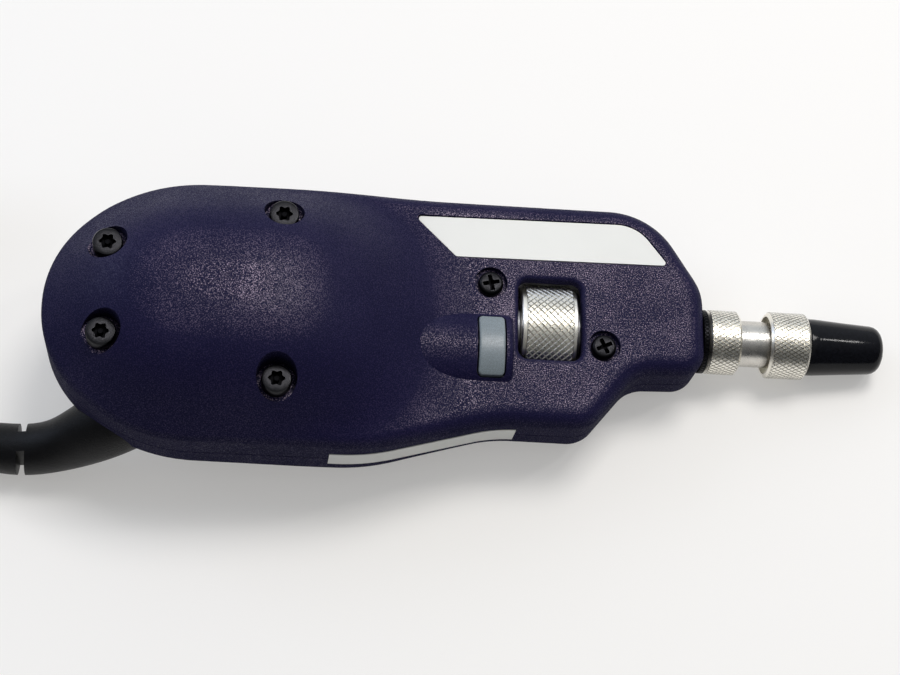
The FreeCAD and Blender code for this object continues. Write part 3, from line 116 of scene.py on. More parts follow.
# Cord's route from the mouth of its strain relief, then its coil and its tail, in metres
MOUTH = Vector((-0.08897, -0.02030, 0.00511))
RUN_STEPS = (
    (0.0, 0.0, 0.0),
    (-0.011, 0.0005, -0.00056),
    (-0.023, -0.0004, -0.0015),
    (-0.035, -0.0030, -0.00206),
    (-0.046, -0.0046, -0.00206),
    (-0.056, -0.0046, -0.00206),
)
COIL_LAYERS = (0.03475, 0.030, 0.02525)
COIL_ROWS = (0.00305, 0.0077, 0.01235)
# Layer and row of each turn, in the order in which the cord is wound
COIL_TURNS = ((0, 0), (1, 0), (2, 0), (2, 1), (1, 1), (0, 1), (0, 2), (1, 2), (2, 2))
# Stretch of the coil in which its turns change places, and the share of it that one turn takes
COIL_CHANGE = math.radians(124.0)
COIL_SHARE = 0.6
COIL_END = math.radians(130.0)
TAIL_STEPS = ((-0.0145, 0.0225, 0.0146), (-0.0055, 0.027, 0.0184), (0.003, 0.027, 0.0184))
TIE_TURN = math.radians(190.0)
STRAP_WIDTH = 0.006
STRAP_THICKNESS = 0.0007
STRAP_STEPS = 4
# Ends of the cord inside its strain relief and inside the plug
CORD_HIDDEN = 0.004

# Studio, in metres
FLOOR_SIZE = 30.0
FLOOR_DROP = 0.0002
# Share of its white that the floor shows of its own accord
FLOOR_GLOW = 0.35
SKY_COLOUR = (0.89, 0.94, 1.0)
# Brightest direction of the sky, where it starts to brighten, how sharply, and its strength
SKY_WAY = (0.0, 0.85, 0.52)
SKY_RISE = (-0.2, 1.0)
SKY_POWER = 1.6
SKY_STRENGTH = (0.08, 0.9)
# Name, place, size, share of the key light's power, colour
LAMPS = (
    ("key", (0.20, 0.27, 0.70), 0.26, 1.0, (1.0, 0.97, 0.94)),
    ("glint", (0.47, 0.20, 0.61), 0.06, 0.15, (1.0, 0.98, 0.96)),
    ("fill", (-0.10, -0.30, 0.80), 1.00, 0.20, (1.0, 0.97, 0.93)),
    ("rim", (-0.60, 0.30, 0.35), 0.40, 0.40, (0.66, 0.76, 1.0)),
)
LAMPS_AIM = Vector((-0.01, 0.0, 0.01))
CAMERA_PLACE = Vector((0.00665, -0.13149, 0.37602))
CAMERA_AIM = Vector((0.0045, 0.0053, 0.00015))
SENSOR_WIDTH = 36.0


class HousingSettings(bpy.types.PropertyGroup):
    colour: FloatVectorProperty(name="Colour", description="Colour of the moulded shells", subtype="COLOR",
                                size=3, min=0.0, max=1.0, default=(0.0053, 0.0046, 0.0330))
    # Light colour of the grain's crests: faint real specks, and painted glint on faces that look up
    speck_and_glint: FloatVectorProperty(name="Crest colour", description="Colour of the grain's crests on flat faces",
                               subtype="COLOR", size=3, min=0.0, max=1.0, default=(0.390, 0.300, 0.400))
    grain: FloatProperty(name="Grain", description="Size of the moulded grain in millimetres", default=0.21)


class MetalSettings(bpy.types.PropertyGroup):
    colour: FloatVectorProperty(name="Colour", description="Colour of the plated metal", subtype="COLOR",
                                size=3, min=0.0, max=1.0, default=(0.90, 0.87, 0.79))
    wheel_pitch: FloatProperty(name="Wheel pitch", default=1.3,
                               description="Distance of the wheel's grooves in millimetres")
    nut_pitch: FloatProperty(name="Nut pitch", default=1.05,
                             description="Distance of the nuts' grooves in millimetres")
    segments: IntProperty(name="Segments", description="Sides of plain turned parts", default=96)


class CordSettings(bpy.types.PropertyGroup):
    diameter: FloatProperty(name="Diameter", description="Diameter of the cord", subtype="DISTANCE",
                            default=0.0045)
    length: FloatProperty(name="Length", description="Length of the cord", subtype="DISTANCE", default=1.7)
    turn_points: IntProperty(name="Turn points", description="Control points in each turn of the coil",
                             default=24)


class StageSettings(bpy.types.PropertyGroup):
    lens: FloatProperty(name="Lens", description="Focal length in millimetres", subtype="DISTANCE_CAMERA",
                        default=80.0)
    floor: FloatVectorProperty(name="Floor", description="Colour of the floor", subtype="COLOR", size=3,
                               min=0.0, max=1.0, default=(0.955, 0.94, 0.915))
    key: FloatProperty(name="Key light", description="Power of the key light", subtype="POWER", default=3.1)


# Materials


def add(made, kind, inputs=None, **settings):
    """Add a node to a material or world, set its options, and set or link its inputs."""
    node = made.node_tree.nodes.new(kind)
    for name, value in settings.items():
        setattr(node, name, value)
    for name, value in (inputs or {}).items():
        if isinstance(value, bpy.types.NodeSocket):
            made.node_tree.links.new(value, node.inputs[name])
        else:
            node.inputs[name].default_value = value
    return node


def surface_of(made):
    """The material's shader."""
    return made.node_tree.nodes["Principled BSDF"]


def drive(made, socket, value):
    """Link a value to one of the shader's sockets."""
    made.node_tree.links.new(value, surface_of(made).inputs[socket])


def finish_of(name, colour, roughness, **sockets):
    """New material with plain values on its shader."""
    made = bpy.data.materials.new(name)
    made.use_nodes = True
    shader = surface_of(made)
    shader.inputs["Base Color"].default_value = (*colour, 1.0)
    shader.inputs["Roughness"].default_value = roughness
    for socket, value in sockets.items():
        shader.inputs[socket.replace("_", " ")].default_value = value
    return made


def in_millimetres(made):
    """Coordinates in the probe's own frame, in millimetres."""
    place = add(made, "ShaderNodeTexCoord")
    mapping = add(made, "ShaderNodeMapping", {
        "Vector": place.outputs["Object"], "Location": PROBE.translation,
        "Rotation": PROBE.to_euler(), "Scale": (MM, MM, MM)}, vector_type="TEXTURE")
    return mapping.outputs["Vector"]


def noise(made, place, size, detail=2.0, roughness=0.5):
    """Noise with features of a size in millimetres."""
    node = add(made, "ShaderNodeTexNoise", {"Vector": place, "Scale": 1.0 / size, "Detail": detail,
                                            "Roughness": roughness})
    return node.outputs["Fac"]


def shade(colour, brightness):
    """Darker or brighter colour, held at white."""
    return tuple(min(channel * brightness, 1.0) for channel in colour)


def shades(made, factor, colour, stops):
    """Shades of a colour along a factor: stops are (place, brightness)."""
    node = add(made, "ShaderNodeValToRGB", {"Fac": factor})
    elements = node.color_ramp.elements
    for i, (place, brightness) in enumerate(stops):
        element = elements[i] if i < len(elements) else elements.new(place)
        element.position = place
        element.color = (*shade(colour, brightness), 1.0)
    return node.outputs["Color"]


def remap(made, value, source=(0.0, 1.0), target=(0.0, 1.0)):
    """Carry a value from one range to another, and hold it at the ends."""
    node = add(made, "ShaderNodeMapRange", {
        "Value": value, "From Min": source[0], "From Max": source[1], "To Min": target[0],
        "To Max": target[1]})
    return node.outputs["Result"]


def math_of(made, operation, first, second):
    """Result of an operation on two values."""
    return add(made, "ShaderNodeMath", {0: first, 1: second}, operation=operation).outputs["Value"]


def bumped(made, height, depth):
    """Bump of a depth in millimetres."""
    bump = add(made, "ShaderNodeBump", {"Height": height, "Distance": depth * MM})
    drive(made, "Normal", bump.outputs["Normal"])


def squareness(made):
    """How squarely a surface faces up or down the probe's height, from 0 to 1."""
    way = add(made, "ShaderNodeNewGeometry").outputs["Normal"]
    dot = add(made, "ShaderNodeVectorMath", {0: way, 1: UP}, operation="DOT_PRODUCT")
    return add(made, "ShaderNodeMath", {0: dot.outputs["Value"]}, operation="ABSOLUTE").outputs["Value"]


def grain_of(made, grain):
    """Fine grain, and the same with a slow drift over it."""
    drift_size = 14.0
    drift_share = 0.15
    place = in_millimetres(made)
    fine = noise(made, place, grain, roughness=0.6)
    drift = math_of(made, "MULTIPLY", noise(made, place, drift_size), drift_share)
    return fine, math_of(made, "ADD", math_of(made, "MULTIPLY", fine, 1.0 - drift_share), drift)


def shell_plastic(name, colour, speck_and_glint, grain):
    """Housing plastic with a spark-eroded grain: glossy crests, duller on steep faces; their light colour is
    faint real specks everywhere, and painted glint on faces that look up.
    """
    # How squarely steep sides, the dome's crown and the flat deck face up
    steep, crown, deck = (0.25, 0.75), (0.92, 0.995), (0.995, 0.9995)
    # How high in the grain its crests take the speck and painted glint colour, and how high they are polished
    speck_and_glint_rise, polish_rise = (0.53, 0.67), (0.45, 0.64)
    made = finish_of(name, colour, roughness=0.46, Specular_IOR_Level=0.14)
    fine, blend = grain_of(made, grain)
    square = squareness(made)
    # Painted glint: the crests' light colour is mostly on faces that look up, the crown and the deck; the
    # small share left on other faces is real specks
    specks_and_crown_glint = remap(made, square, crown, (0.07, 0.46))
    deck_glint = remap(made, square, deck, (0.0, 0.54))
    speck_and_glint_mask = math_of(made, "MULTIPLY", remap(made, blend, speck_and_glint_rise),
                   math_of(made, "ADD", specks_and_crown_glint, deck_glint))
    tone = shades(made, blend, colour, ((0.4, 0.75), (0.62, 1.2)))
    mix = add(made, "ShaderNodeMix", {0: speck_and_glint_mask, 6: tone, 7: (*speck_and_glint, 1.0)}, data_type="RGBA")
    drive(made, "Base Color", mix.outputs[2])
    polish = remap(made, blend, polish_rise, (0.72, 0.2))
    dull = remap(made, square, steep, (0.34, 0.0))
    drive(made, "Roughness", math_of(made, "ADD", polish, dull))
    bumped(made, fine, depth=0.035)
    return made


def grained_plastic(name, colour, grain, depth, roughness):
    """Moulded plastic whose grain has lighter and smoother crests."""
    made = finish_of(name, colour, roughness, Specular_IOR_Level=0.45)
    fine, blend = grain_of(made, grain)
    drive(made, "Base Color", shades(made, blend, colour, ((0.4, 0.8), (0.54, 1.0), (0.68, 1.4))))
    drive(made, "Roughness", remap(made, blend, (0.42, 0.62), (roughness + 0.1, roughness - 0.1)))
    bumped(made, fine, depth)
    return made


def plated_metal(name, colour, roughness):
    """Plated or turned metal with fine rings round the probe's axis."""
    ring_size = 0.18
    smear_size = 2.2
    made = finish_of(name, colour, roughness, Metallic=1.0)
    place = in_millimetres(made)
    rings = add(made, "ShaderNodeTexWave", {"Vector": place, "Scale": 1.0 / ring_size, "Distortion": 0.6,
                                            "Detail": 2.0}, bands_direction="X")
    smear = noise(made, place, smear_size, detail=3.0)
    drive(made, "Base Color", shades(made, smear, colour, ((0.3, 0.88), (0.7, 1.06))))
    drive(made, "Roughness", remap(made, smear, target=(roughness - 0.06, roughness + 0.08)))
    bumped(made, rings.outputs["Fac"], depth=0.004)
    return made


def soft_rubber(name, colour, roughness, grain, depth, shine):
    """Black vinyl or rubber: faint dust in its colour, a slightly uneven skin."""
    uneven_size = 3.5
    made = finish_of(name, colour, roughness, Specular_IOR_Level=shine)
    place = in_millimetres(made)
    fine = noise(made, place, grain, detail=3.0)
    uneven = noise(made, place, uneven_size)
    drive(made, "Base Color", shades(made, fine, colour, ((0.35, 0.8), (0.75, 1.5))))
    drive(made, "Roughness", remap(made, uneven, target=(roughness - 0.07, roughness + 0.09)))
    bumped(made, fine, depth)
    return made


def label_film(name, colour):
    """White film with a faint texture."""
    texture_size = 0.5
    cloud_size = 9.0
    made = finish_of(name, colour, roughness=0.42)
    place = in_millimetres(made)
    texture = noise(made, place, texture_size)
    clouds = noise(made, place, cloud_size)
    drive(made, "Base Color", shades(made, clouds, colour, ((0.3, 0.97), (0.7, 1.0))))
    drive(made, "Roughness", remap(made, texture, target=(0.36, 0.5)))
    bumped(made, texture, depth=0.004)
    return made


def circuit_board(name, colour):
    """Solder mask over tracks."""
    smear_size = 1.5
    made = finish_of(name, colour, roughness=0.35)
    place = in_millimetres(made)
    bricks = add(made, "ShaderNodeTexBrick", {"Vector": place, "Scale": 0.6, "Mortar Size": 0.06})
    tracks = bricks.outputs["Fac"]
    drive(made, "Base Color", shades(made, tracks, colour, ((0.0, 1.0), (1.0, 1.8))))
    drive(made, "Roughness", remap(made, noise(made, place, smear_size), target=(0.28, 0.45)))
    bumped(made, tracks, depth=0.03)
    return made


def clear_glass(name, colour):
    """Glass with a faint haze."""
    haze_size = 2.0
    made = finish_of(name, colour, roughness=0.03, Transmission_Weight=1.0, IOR=1.52)
    haze = noise(made, in_millimetres(made), haze_size)
    drive(made, "Roughness", remap(made, haze, target=(0.01, 0.06)))
    return made


MATERIALS = {}
# Finishes of two kinds of face: lands and grooves, outside and recess; the grooves and the screw recesses
# take darker finishes, painted shade
KNURLED = ("knurled_steel", "knurl_groove")
SCREW = ("black_screw", "screw_recess")
# Colour and roughness
PLATED_METALS = {
    "black_screw": ((0.017, 0.017, 0.019), 0.3),
    # The recess is darker than the head's outside: painted shade
    "screw_recess": ((0.006, 0.006, 0.007), 0.6),
    "tube_metal": ((0.05, 0.05, 0.055), 0.4),
    "frame_metal": ((0.42, 0.42, 0.43), 0.45),
    "spring_steel": ((0.36, 0.36, 0.38), 0.3),
    "collar_black": ((0.018, 0.018, 0.02), 0.4),
    "tip_metal": ((0.62, 0.60, 0.56), 0.26),
    "plug_metal": ((0.66, 0.66, 0.67), 0.22),
    "contact_gold": ((0.83, 0.58, 0.22), 0.22),
}
# Colour, size and depth of the grain in millimetres, roughness
GRAINED_PLASTICS = {
    "chip_black": ((0.015, 0.015, 0.016), 0.2, 0.02, 0.5),
    "switch_black": ((0.018, 0.018, 0.02), 0.2, 0.02, 0.42),
    "led_white": ((0.75, 0.72, 0.55), 0.2, 0.01, 0.35),
    "button_grey": ((0.19, 0.225, 0.245), 0.16, 0.012, 0.36),
    "plug_black": ((0.014, 0.014, 0.015), 0.25, 0.03, 0.45),
    "tongue_white": ((0.6, 0.6, 0.58), 0.3, 0.01, 0.4),
}
# Colour, roughness, size and depth of the skin's texture in millimetres, shine
SOFT_RUBBERS = {
    "vinyl_black": ((0.004, 0.0042, 0.006), 0.11, 0.6, 0.01, 0.16),
    "boot_rubber": ((0.003, 0.003, 0.0036), 0.36, 0.25, 0.1, 0.16),
    "cord_jacket": ((0.005, 0.005, 0.006), 0.42, 0.4, 0.03, 0.18),
    "tie_black": ((0.016, 0.016, 0.017), 0.75, 0.12, 0.12, 0.25),
}


def make_materials(housing, metal):
    """Finishes of every piece, under the record's names of their slots."""
    # The knurl's grooves are the lands' metal made darker: painted shade
    groove_painted_shade = 0.7
    MATERIALS["shell_plastic"] = shell_plastic("shell_plastic", housing.colour, housing.speck_and_glint, housing.grain)
    MATERIALS["knurled_steel"] = plated_metal("knurled_steel", metal.colour, roughness=0.28)
    MATERIALS["knurl_groove"] = plated_metal("knurl_groove", shade(metal.colour, groove_painted_shade), roughness=0.2)
    MATERIALS["lens_glass"] = clear_glass("lens_glass", (0.93, 0.96, 0.98))
    MATERIALS["board_green"] = circuit_board("board_green", (0.012, 0.11, 0.045))
    MATERIALS["label_white"] = label_film("label_white", (0.70, 0.705, 0.675))
    for make, finishes in ((plated_metal, PLATED_METALS), (grained_plastic, GRAINED_PLASTICS),
                           (soft_rubber, SOFT_RUBBERS)):
        for name, values in finishes.items():
            MATERIALS[name] = make(name, *values)


# Shapes


def lathe(profile, steps, closed=True, corners=()):
    """Profile of (x, radius) spun about the probe's axis; corners are (index, radius) that get rounded."""
    shape = bmesh.new()
    points = [shape.verts.new((x, 0.0, radius)) for x, radius in profile]
    pairs = list(zip(points, points[1:]))
    if closed:
        pairs.append((points[-1], points[0]))
    for pair in pairs:
        shape.edges.new(pair)
    for index, radius in corners:
        bmesh.ops.bevel(shape, geom=[points[index]], offset=radius, offset_type="OFFSET",
                        segments=CORNER_SEGMENTS, profile=0.5, affect="VERTICES", material=-1)
    bmesh.ops.spin(shape, geom=list(shape.verts) + list(shape.edges), cent=(0, 0, 0), axis=(1, 0, 0),
                   dvec=(0, 0, 0), angle=FULL_TURN, steps=steps, use_merge=True)
    bmesh.ops.remove_doubles(shape, verts=shape.verts, dist=WELD)
    bmesh.ops.recalc_face_normals(shape, faces=shape.faces)
    return shape


def knurled_band(radius, rear, front, pitch, slant, depth, groove):
    """Tube of raised diamonds between two places on the axis; returns it and its segments."""
    around = round(FULL_TURN * radius / (pitch * math.sqrt(slant)))
    rows = max(round((front - rear) / (pitch / math.sqrt(slant))), 1)
    root = radius - depth
    tube = bmesh.new()
    bmesh.ops.create_cone(tube, cap_ends=False, segments=around, radius1=root, radius2=root,
                          depth=front - rear)
    rails = [edge for edge in tube.edges if abs(edge.verts[0].co.z - edge.verts[1].co.z) > WELD]
    bmesh.ops.subdivide_edges(tube, edges=rails, cuts=rows - 1, use_grid_fill=True)
    cells = list(tube.edges)
    for point in bmesh.ops.poke(tube, faces=tube.faces)["verts"]:
        out = root / point.co.xy.length
        point.co.x *= out
        point.co.y *= out
    bmesh.ops.dissolve_edges(tube, edges=[edge for edge in cells if len(edge.link_faces) == 2],
                             use_verts=False)
    lands = list(tube.faces)
    bmesh.ops.recalc_face_normals(tube, faces=lands)
    made = bmesh.ops.inset_individual(tube, faces=lands, thickness=groove / 2, depth=depth,
                                      use_even_offset=True)
    for face in made["faces"]:
        face.material_index = 1
    bmesh.ops.transform(tube, matrix=Matrix.Translation(((rear + front) / 2, 0, 0)) @ ROUND_X,
                        verts=tube.verts)
    return tube, around


def knurled_part(radius, rear, front, profile, pitch, slant, depth, groove):
    """Knurled band closed by a plain profile that runs from its front edge to its rear edge."""
    shape, around = knurled_band(radius, rear, front, pitch, slant, depth, groove)
    root = radius - depth
    plain = lathe([(front, root), *profile, (rear, root)], around, closed=False)
    mesh = bpy.data.meshes.new("plain")
    plain.to_mesh(mesh)
    plain.free()
    shape.from_mesh(mesh)
    bpy.data.meshes.remove(mesh)
    bmesh.ops.remove_doubles(shape, verts=shape.verts, dist=WELD)
    bmesh.ops.recalc_face_normals(shape, faces=shape.faces)
    return shape


def ring_of(shape, segments):
    """New ring of points about z, and its edges."""
    points = bmesh.ops.create_circle(shape, cap_ends=False, segments=segments, radius=1.0)["verts"]
    return points, list(dict.fromkeys(edge for point in points for edge in point.link_edges))


def extruded(shape, edges):
    """Extrude a ring of edges in place; returns the new ring's points and edges."""
    made = bmesh.ops.extrude_edge_only(shape, edges=edges)["geom"]
    points = [item for item in made if isinstance(item, bmesh.types.BMVert)]
    return points, [item for item in made if isinstance(item, bmesh.types.BMEdge)
                    and all(end in points for end in item.verts)]


def grow_ring(shape, edges, radius=None, height=None, factor=1.0):
    """Extrude a ring of edges about z to a new size and height; returns the new ring."""
    points, ring = extruded(shape, edges)
    for point in points:
        if radius is not None:
            factor = radius / point.co.xy.length
        point.co.x *= factor
        point.co.y *= factor
        if height is not None:
            point.co.z = height
    return ring


def close_ring(shape, edges):
    """Fill the hole inside each ring of edges."""
    bmesh.ops.holes_fill(shape, edges=edges, sides=0)


def sections_of(stations, segments):
    """Closed skin through sections along x: each is (x, width, height, squareness)."""
    shape = bmesh.new()
    points, first = ring_of(shape, segments)
    turns = {point: math.atan2(point.co.y, point.co.x) for point in points}
    edges = first
    for i, (x, width, height, square) in enumerate(stations):
        if i > 0:
            points, edges = extruded(shape, edges)
            turns = {point: turns[edge.other_vert(point)] for point in points for edge in point.link_edges
                     if edge.other_vert(point) in turns}
        for point, turn in turns.items():
            across, up = math.cos(turn), math.sin(turn)
            reach = (abs(across) ** square + abs(up) ** square) ** (-1.0 / square)
            point.co = (x, width / 2 * across * reach, height / 2 * up * reach)
    close_ring(shape, first + edges)
    bmesh.ops.recalc_face_normals(shape, faces=shape.faces)
    return shape


def piece_of(name, shape, finishes, body, node, place=IN_PROBE):
    """Turn a shape into a piece that rides on a body and stands for a CAD node.

    The first finish is also its slot.
    """
    bmesh.ops.transform(shape, matrix=place, verts=shape.verts)
    mesh = bpy.data.meshes.new(name)
    shape.to_mesh(mesh)
    shape.free()
    for finish in finishes:
        mesh.materials.append(MATERIALS[finish])
    mesh.shade_smooth()
    mesh.set_sharp_from_angle(angle=SMOOTH_ANGLE)
    piece = bpy.data.objects.new(name, mesh)
    bpy.context.scene.collection.objects.link(piece)
    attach(piece, body)
    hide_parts(node)
    return piece


def dress(finishes):
    """Give CAD nodes their finishes."""
    for node, finish in finishes.items():
        mesh = frame["nodes"][node].data
        mesh.materials.clear()
        mesh.materials.append(MATERIALS[finish])


# Operators


class ScopeOperator(bpy.types.Operator):
    bl_options = {"REGISTER", "UNDO"}


class SCOPE_OT_materials(ScopeOperator):
    """Make the finishes"""
    bl_idname = "scope.materials"
    bl_label = "Finishes"

    def execute(self, context):
        make_materials(context.scene.scope_housing, context.scene.scope_metal)
        return {"FINISHED"}


class SCOPE_OT_housing(ScopeOperator):
    """Finish the two moulded shells, the button and the labels"""
    bl_idname = "scope.housing"
    bl_label = "Housing"

    def execute(self, context):
        dress({
            "upper_shell": "shell_plastic", "lower_shell": "shell_plastic",
            "capture_button": "button_grey", "face_label": "label_white", "side_label": "label_white",
        })
        return {"FINISHED"}


class SCOPE_OT_inside(ScopeOperator):
    """Finish the optics, boards and switch inside the housing"""
    bl_idname = "scope.inside"
    bl_label = "Inside"

    def execute(self, context):
        dress({
            "guide_tube": "tube_metal", "wheel_retaining_rings": "spring_steel",
            "objective_carrier": "frame_metal", "objective_lens": "lens_glass",
            "lens_retaining_ring": "tube_metal", "optics_frame": "frame_metal", "cube_mount": "tube_metal",
            "beamsplitter_cube": "lens_glass", "tube_lens": "lens_glass", "led_board": "board_green",
            "illumination_led": "led_white", "main_board": "board_green", "board_screws": "spring_steel",
            "board_components": "chip_black", "cord_connector": "tongue_white", "sensor_board": "board_green",
            "image_sensor": "chip_black", "switch_plunger": "switch_black", "button_switch": "switch_black",
            "switch_board": "board_green",
        })
        return {"FINISHED"}


class SCOPE_OT_wheel(ScopeOperator):
    """Knurled focus wheel"""
    bl_idname = "scope.wheel"
    bl_label = "Focus wheel"

    def execute(self, context):
        radius, rim, bore, cam = 9.3, 8.7, 4.64, 6.8
        band_half, edge, chamfer, cam_half = 4.5, 0.85, 0.2, 2.8
        rear, front = WHEEL_CENTRE - band_half, WHEEL_CENTRE + band_half
        cam_rear, cam_front = WHEEL_CENTRE - cam_half, WHEEL_CENTRE + cam_half
        profile = (
            (front, rim), (front + edge - chamfer, rim), (front + edge, rim - chamfer), (front + edge, bore),
            (cam_front, bore), (cam_front, cam), (cam_rear, cam), (cam_rear, bore),
            (rear - edge, bore), (rear - edge, rim - chamfer), (rear - edge + chamfer, rim), (rear, rim),
        )
        wheel = knurled_part(radius, rear, front, profile, pitch=context.scene.scope_metal.wheel_pitch,
                             slant=1.0, depth=0.13, groove=0.27)
        piece_of("knurled_wheel", wheel, KNURLED, "wheel", "focus_wheel")
        return {"FINISHED"}


class SCOPE_OT_tip(ScopeOperator):
    """Knurled nuts, collar, barrel, inspection tip and dust cap"""
    bl_idname = "scope.tip"
    bl_label = "Tip"

    def execute(self, context):
        metal = context.scene.scope_metal
        nut_knurl = {"pitch": metal.nut_pitch, "slant": NUT_SLANT, "depth": 0.16, "groove": 0.18}
        barrel_nut = knurled_part(radius=6.25, rear=1.75, front=7.25, profile=BARREL_NUT, **nut_knurl)
        piece_of("knurled_barrel_nut", barrel_nut, KNURLED, "rear_nut", "barrel_nut")
        tip_nut = knurled_part(radius=6.5, rear=13.8, front=20.8, profile=TIP_NUT, **nut_knurl)
        piece_of("knurled_tip_nut", tip_nut, KNURLED, "front_nut", "tip_nut")
        collar = knurled_part(radius=6.2, rear=0.1, front=1.25, profile=COLLAR, pitch=0.8, slant=1.0,
                              depth=0.15, groove=0.18)
        piece_of("knurled_collar", collar, ("collar_black", "collar_black"), "probe", "nose_collar")
        barrel = lathe(BARREL, metal.segments, corners=((4, 0.15),))
        piece_of("turned_barrel", barrel, ("tip_metal",), "probe", "tip_barrel")
        tip = lathe(TIP, metal.segments, corners=((4, 0.5), (5, 0.25)))
        piece_of("turned_inspection_tip", tip, ("tip_metal",), "probe", "inspection_tip")
        cap = lathe(CAP, metal.segments, corners=((4, 2.3), (1, 0.4), (2, 0.8)))
        piece_of("vinyl_cap", cap, ("vinyl_black",), "cap", "dust_cap")
        return {"FINISHED"}


class SCOPE_OT_screws(ScopeOperator):
    """Socket-head screws of the bulb and cross-recess screws of the deck"""
    bl_idname = "scope.screws"
    bl_label = "Screws"

    def execute(self, context):
        heads = bmesh.new()
        for seat in SOCKET_SEATS:
            self.socket_screw(heads, Matrix.Translation(seat))
        piece_of("socket_screws", heads, SCREW, "probe", "rear_screws")
        heads = bmesh.new()
        for x, y, turn in PAN_SEATS:
            place = Matrix.Translation((x, y, PAN_HEIGHT)) @ Matrix.Rotation(math.radians(turn), 4, "Z")
            self.cross_screw(heads, place)
        piece_of("cross_screws", heads, SCREW, "probe", "front_screws")
        return {"FINISHED"}

    def socket_screw(self, heads, place):
        """Cap screw with a six-lobed recess and a pin in its middle."""
        lobes, lobe_radius, lobe_swing = 6.0, 1.38, 0.2
        top = SOCKET_OUTSIDE[0][1]
        start = set(heads.verts)
        points, mouth = ring_of(heads, RING_SEGMENTS)
        for point in points:
            turn = math.atan2(point.co.y, point.co.x)
            reach = lobe_radius + lobe_swing * math.cos(lobes * turn)
            point.co = (reach * math.cos(turn), reach * math.sin(turn), top)
        outside = self.outside(heads, mouth, SOCKET_OUTSIDE)
        wall = grow_ring(heads, mouth, height=1.5)
        floor = grow_ring(heads, wall, radius=0.55)
        pin = grow_ring(heads, floor, height=2.6)
        close_ring(heads, grow_ring(heads, pin, factor=0.8, height=2.75))
        self.settle(heads, start, outside, place)

    def cross_screw(self, heads, place):
        """Pan head with a cross recess."""
        arm, arm_half = 1.62, 0.42
        top = PAN_OUTSIDE[0][1]
        start = set(heads.verts)
        points, mouth = ring_of(heads, RING_SEGMENTS)
        for point in points:
            way = point.co.xy.normalized()
            along, aside = max(abs(way.x), abs(way.y)), min(abs(way.x), abs(way.y))
            reach = min(arm / along, arm_half / max(aside, WELD))
            point.co = (way.x * reach, way.y * reach, top)
        outside = self.outside(heads, mouth, PAN_OUTSIDE)
        low = grow_ring(heads, mouth, factor=0.92, height=0.4)
        close_ring(heads, grow_ring(heads, low, factor=0.5, height=0.1))
        self.settle(heads, start, outside, place)

    def outside(self, heads, mouth, outline):
        """Grow a screw's outside from the mouth of its recess and close its end; returns all faces so far."""
        edge = mouth
        for radius, height in outline:
            edge = grow_ring(heads, edge, radius=radius, height=height)
        close_ring(heads, edge)
        return set(heads.faces)

    def settle(self, heads, start, outside, place):
        """Move a new screw to its seat, with its faces outwards and its recess in a darker finish, painted
        shade.
        """
        fresh = [point for point in heads.verts if point not in start]
        bmesh.ops.transform(heads, matrix=place, verts=fresh)
        faces = list(dict.fromkeys(face for point in fresh for face in point.link_faces))
        bmesh.ops.recalc_face_normals(heads, faces=faces)
        for face in faces:
            face.material_index = 0 if face in outside else 1


class SCOPE_OT_boot(ScopeOperator):
    """Finish the strain relief"""
    bl_idname = "scope.boot"
    bl_label = "Strain relief"

    def execute(self, context):
        dress({"strain_relief": "boot_rubber"})
        return {"FINISHED"}


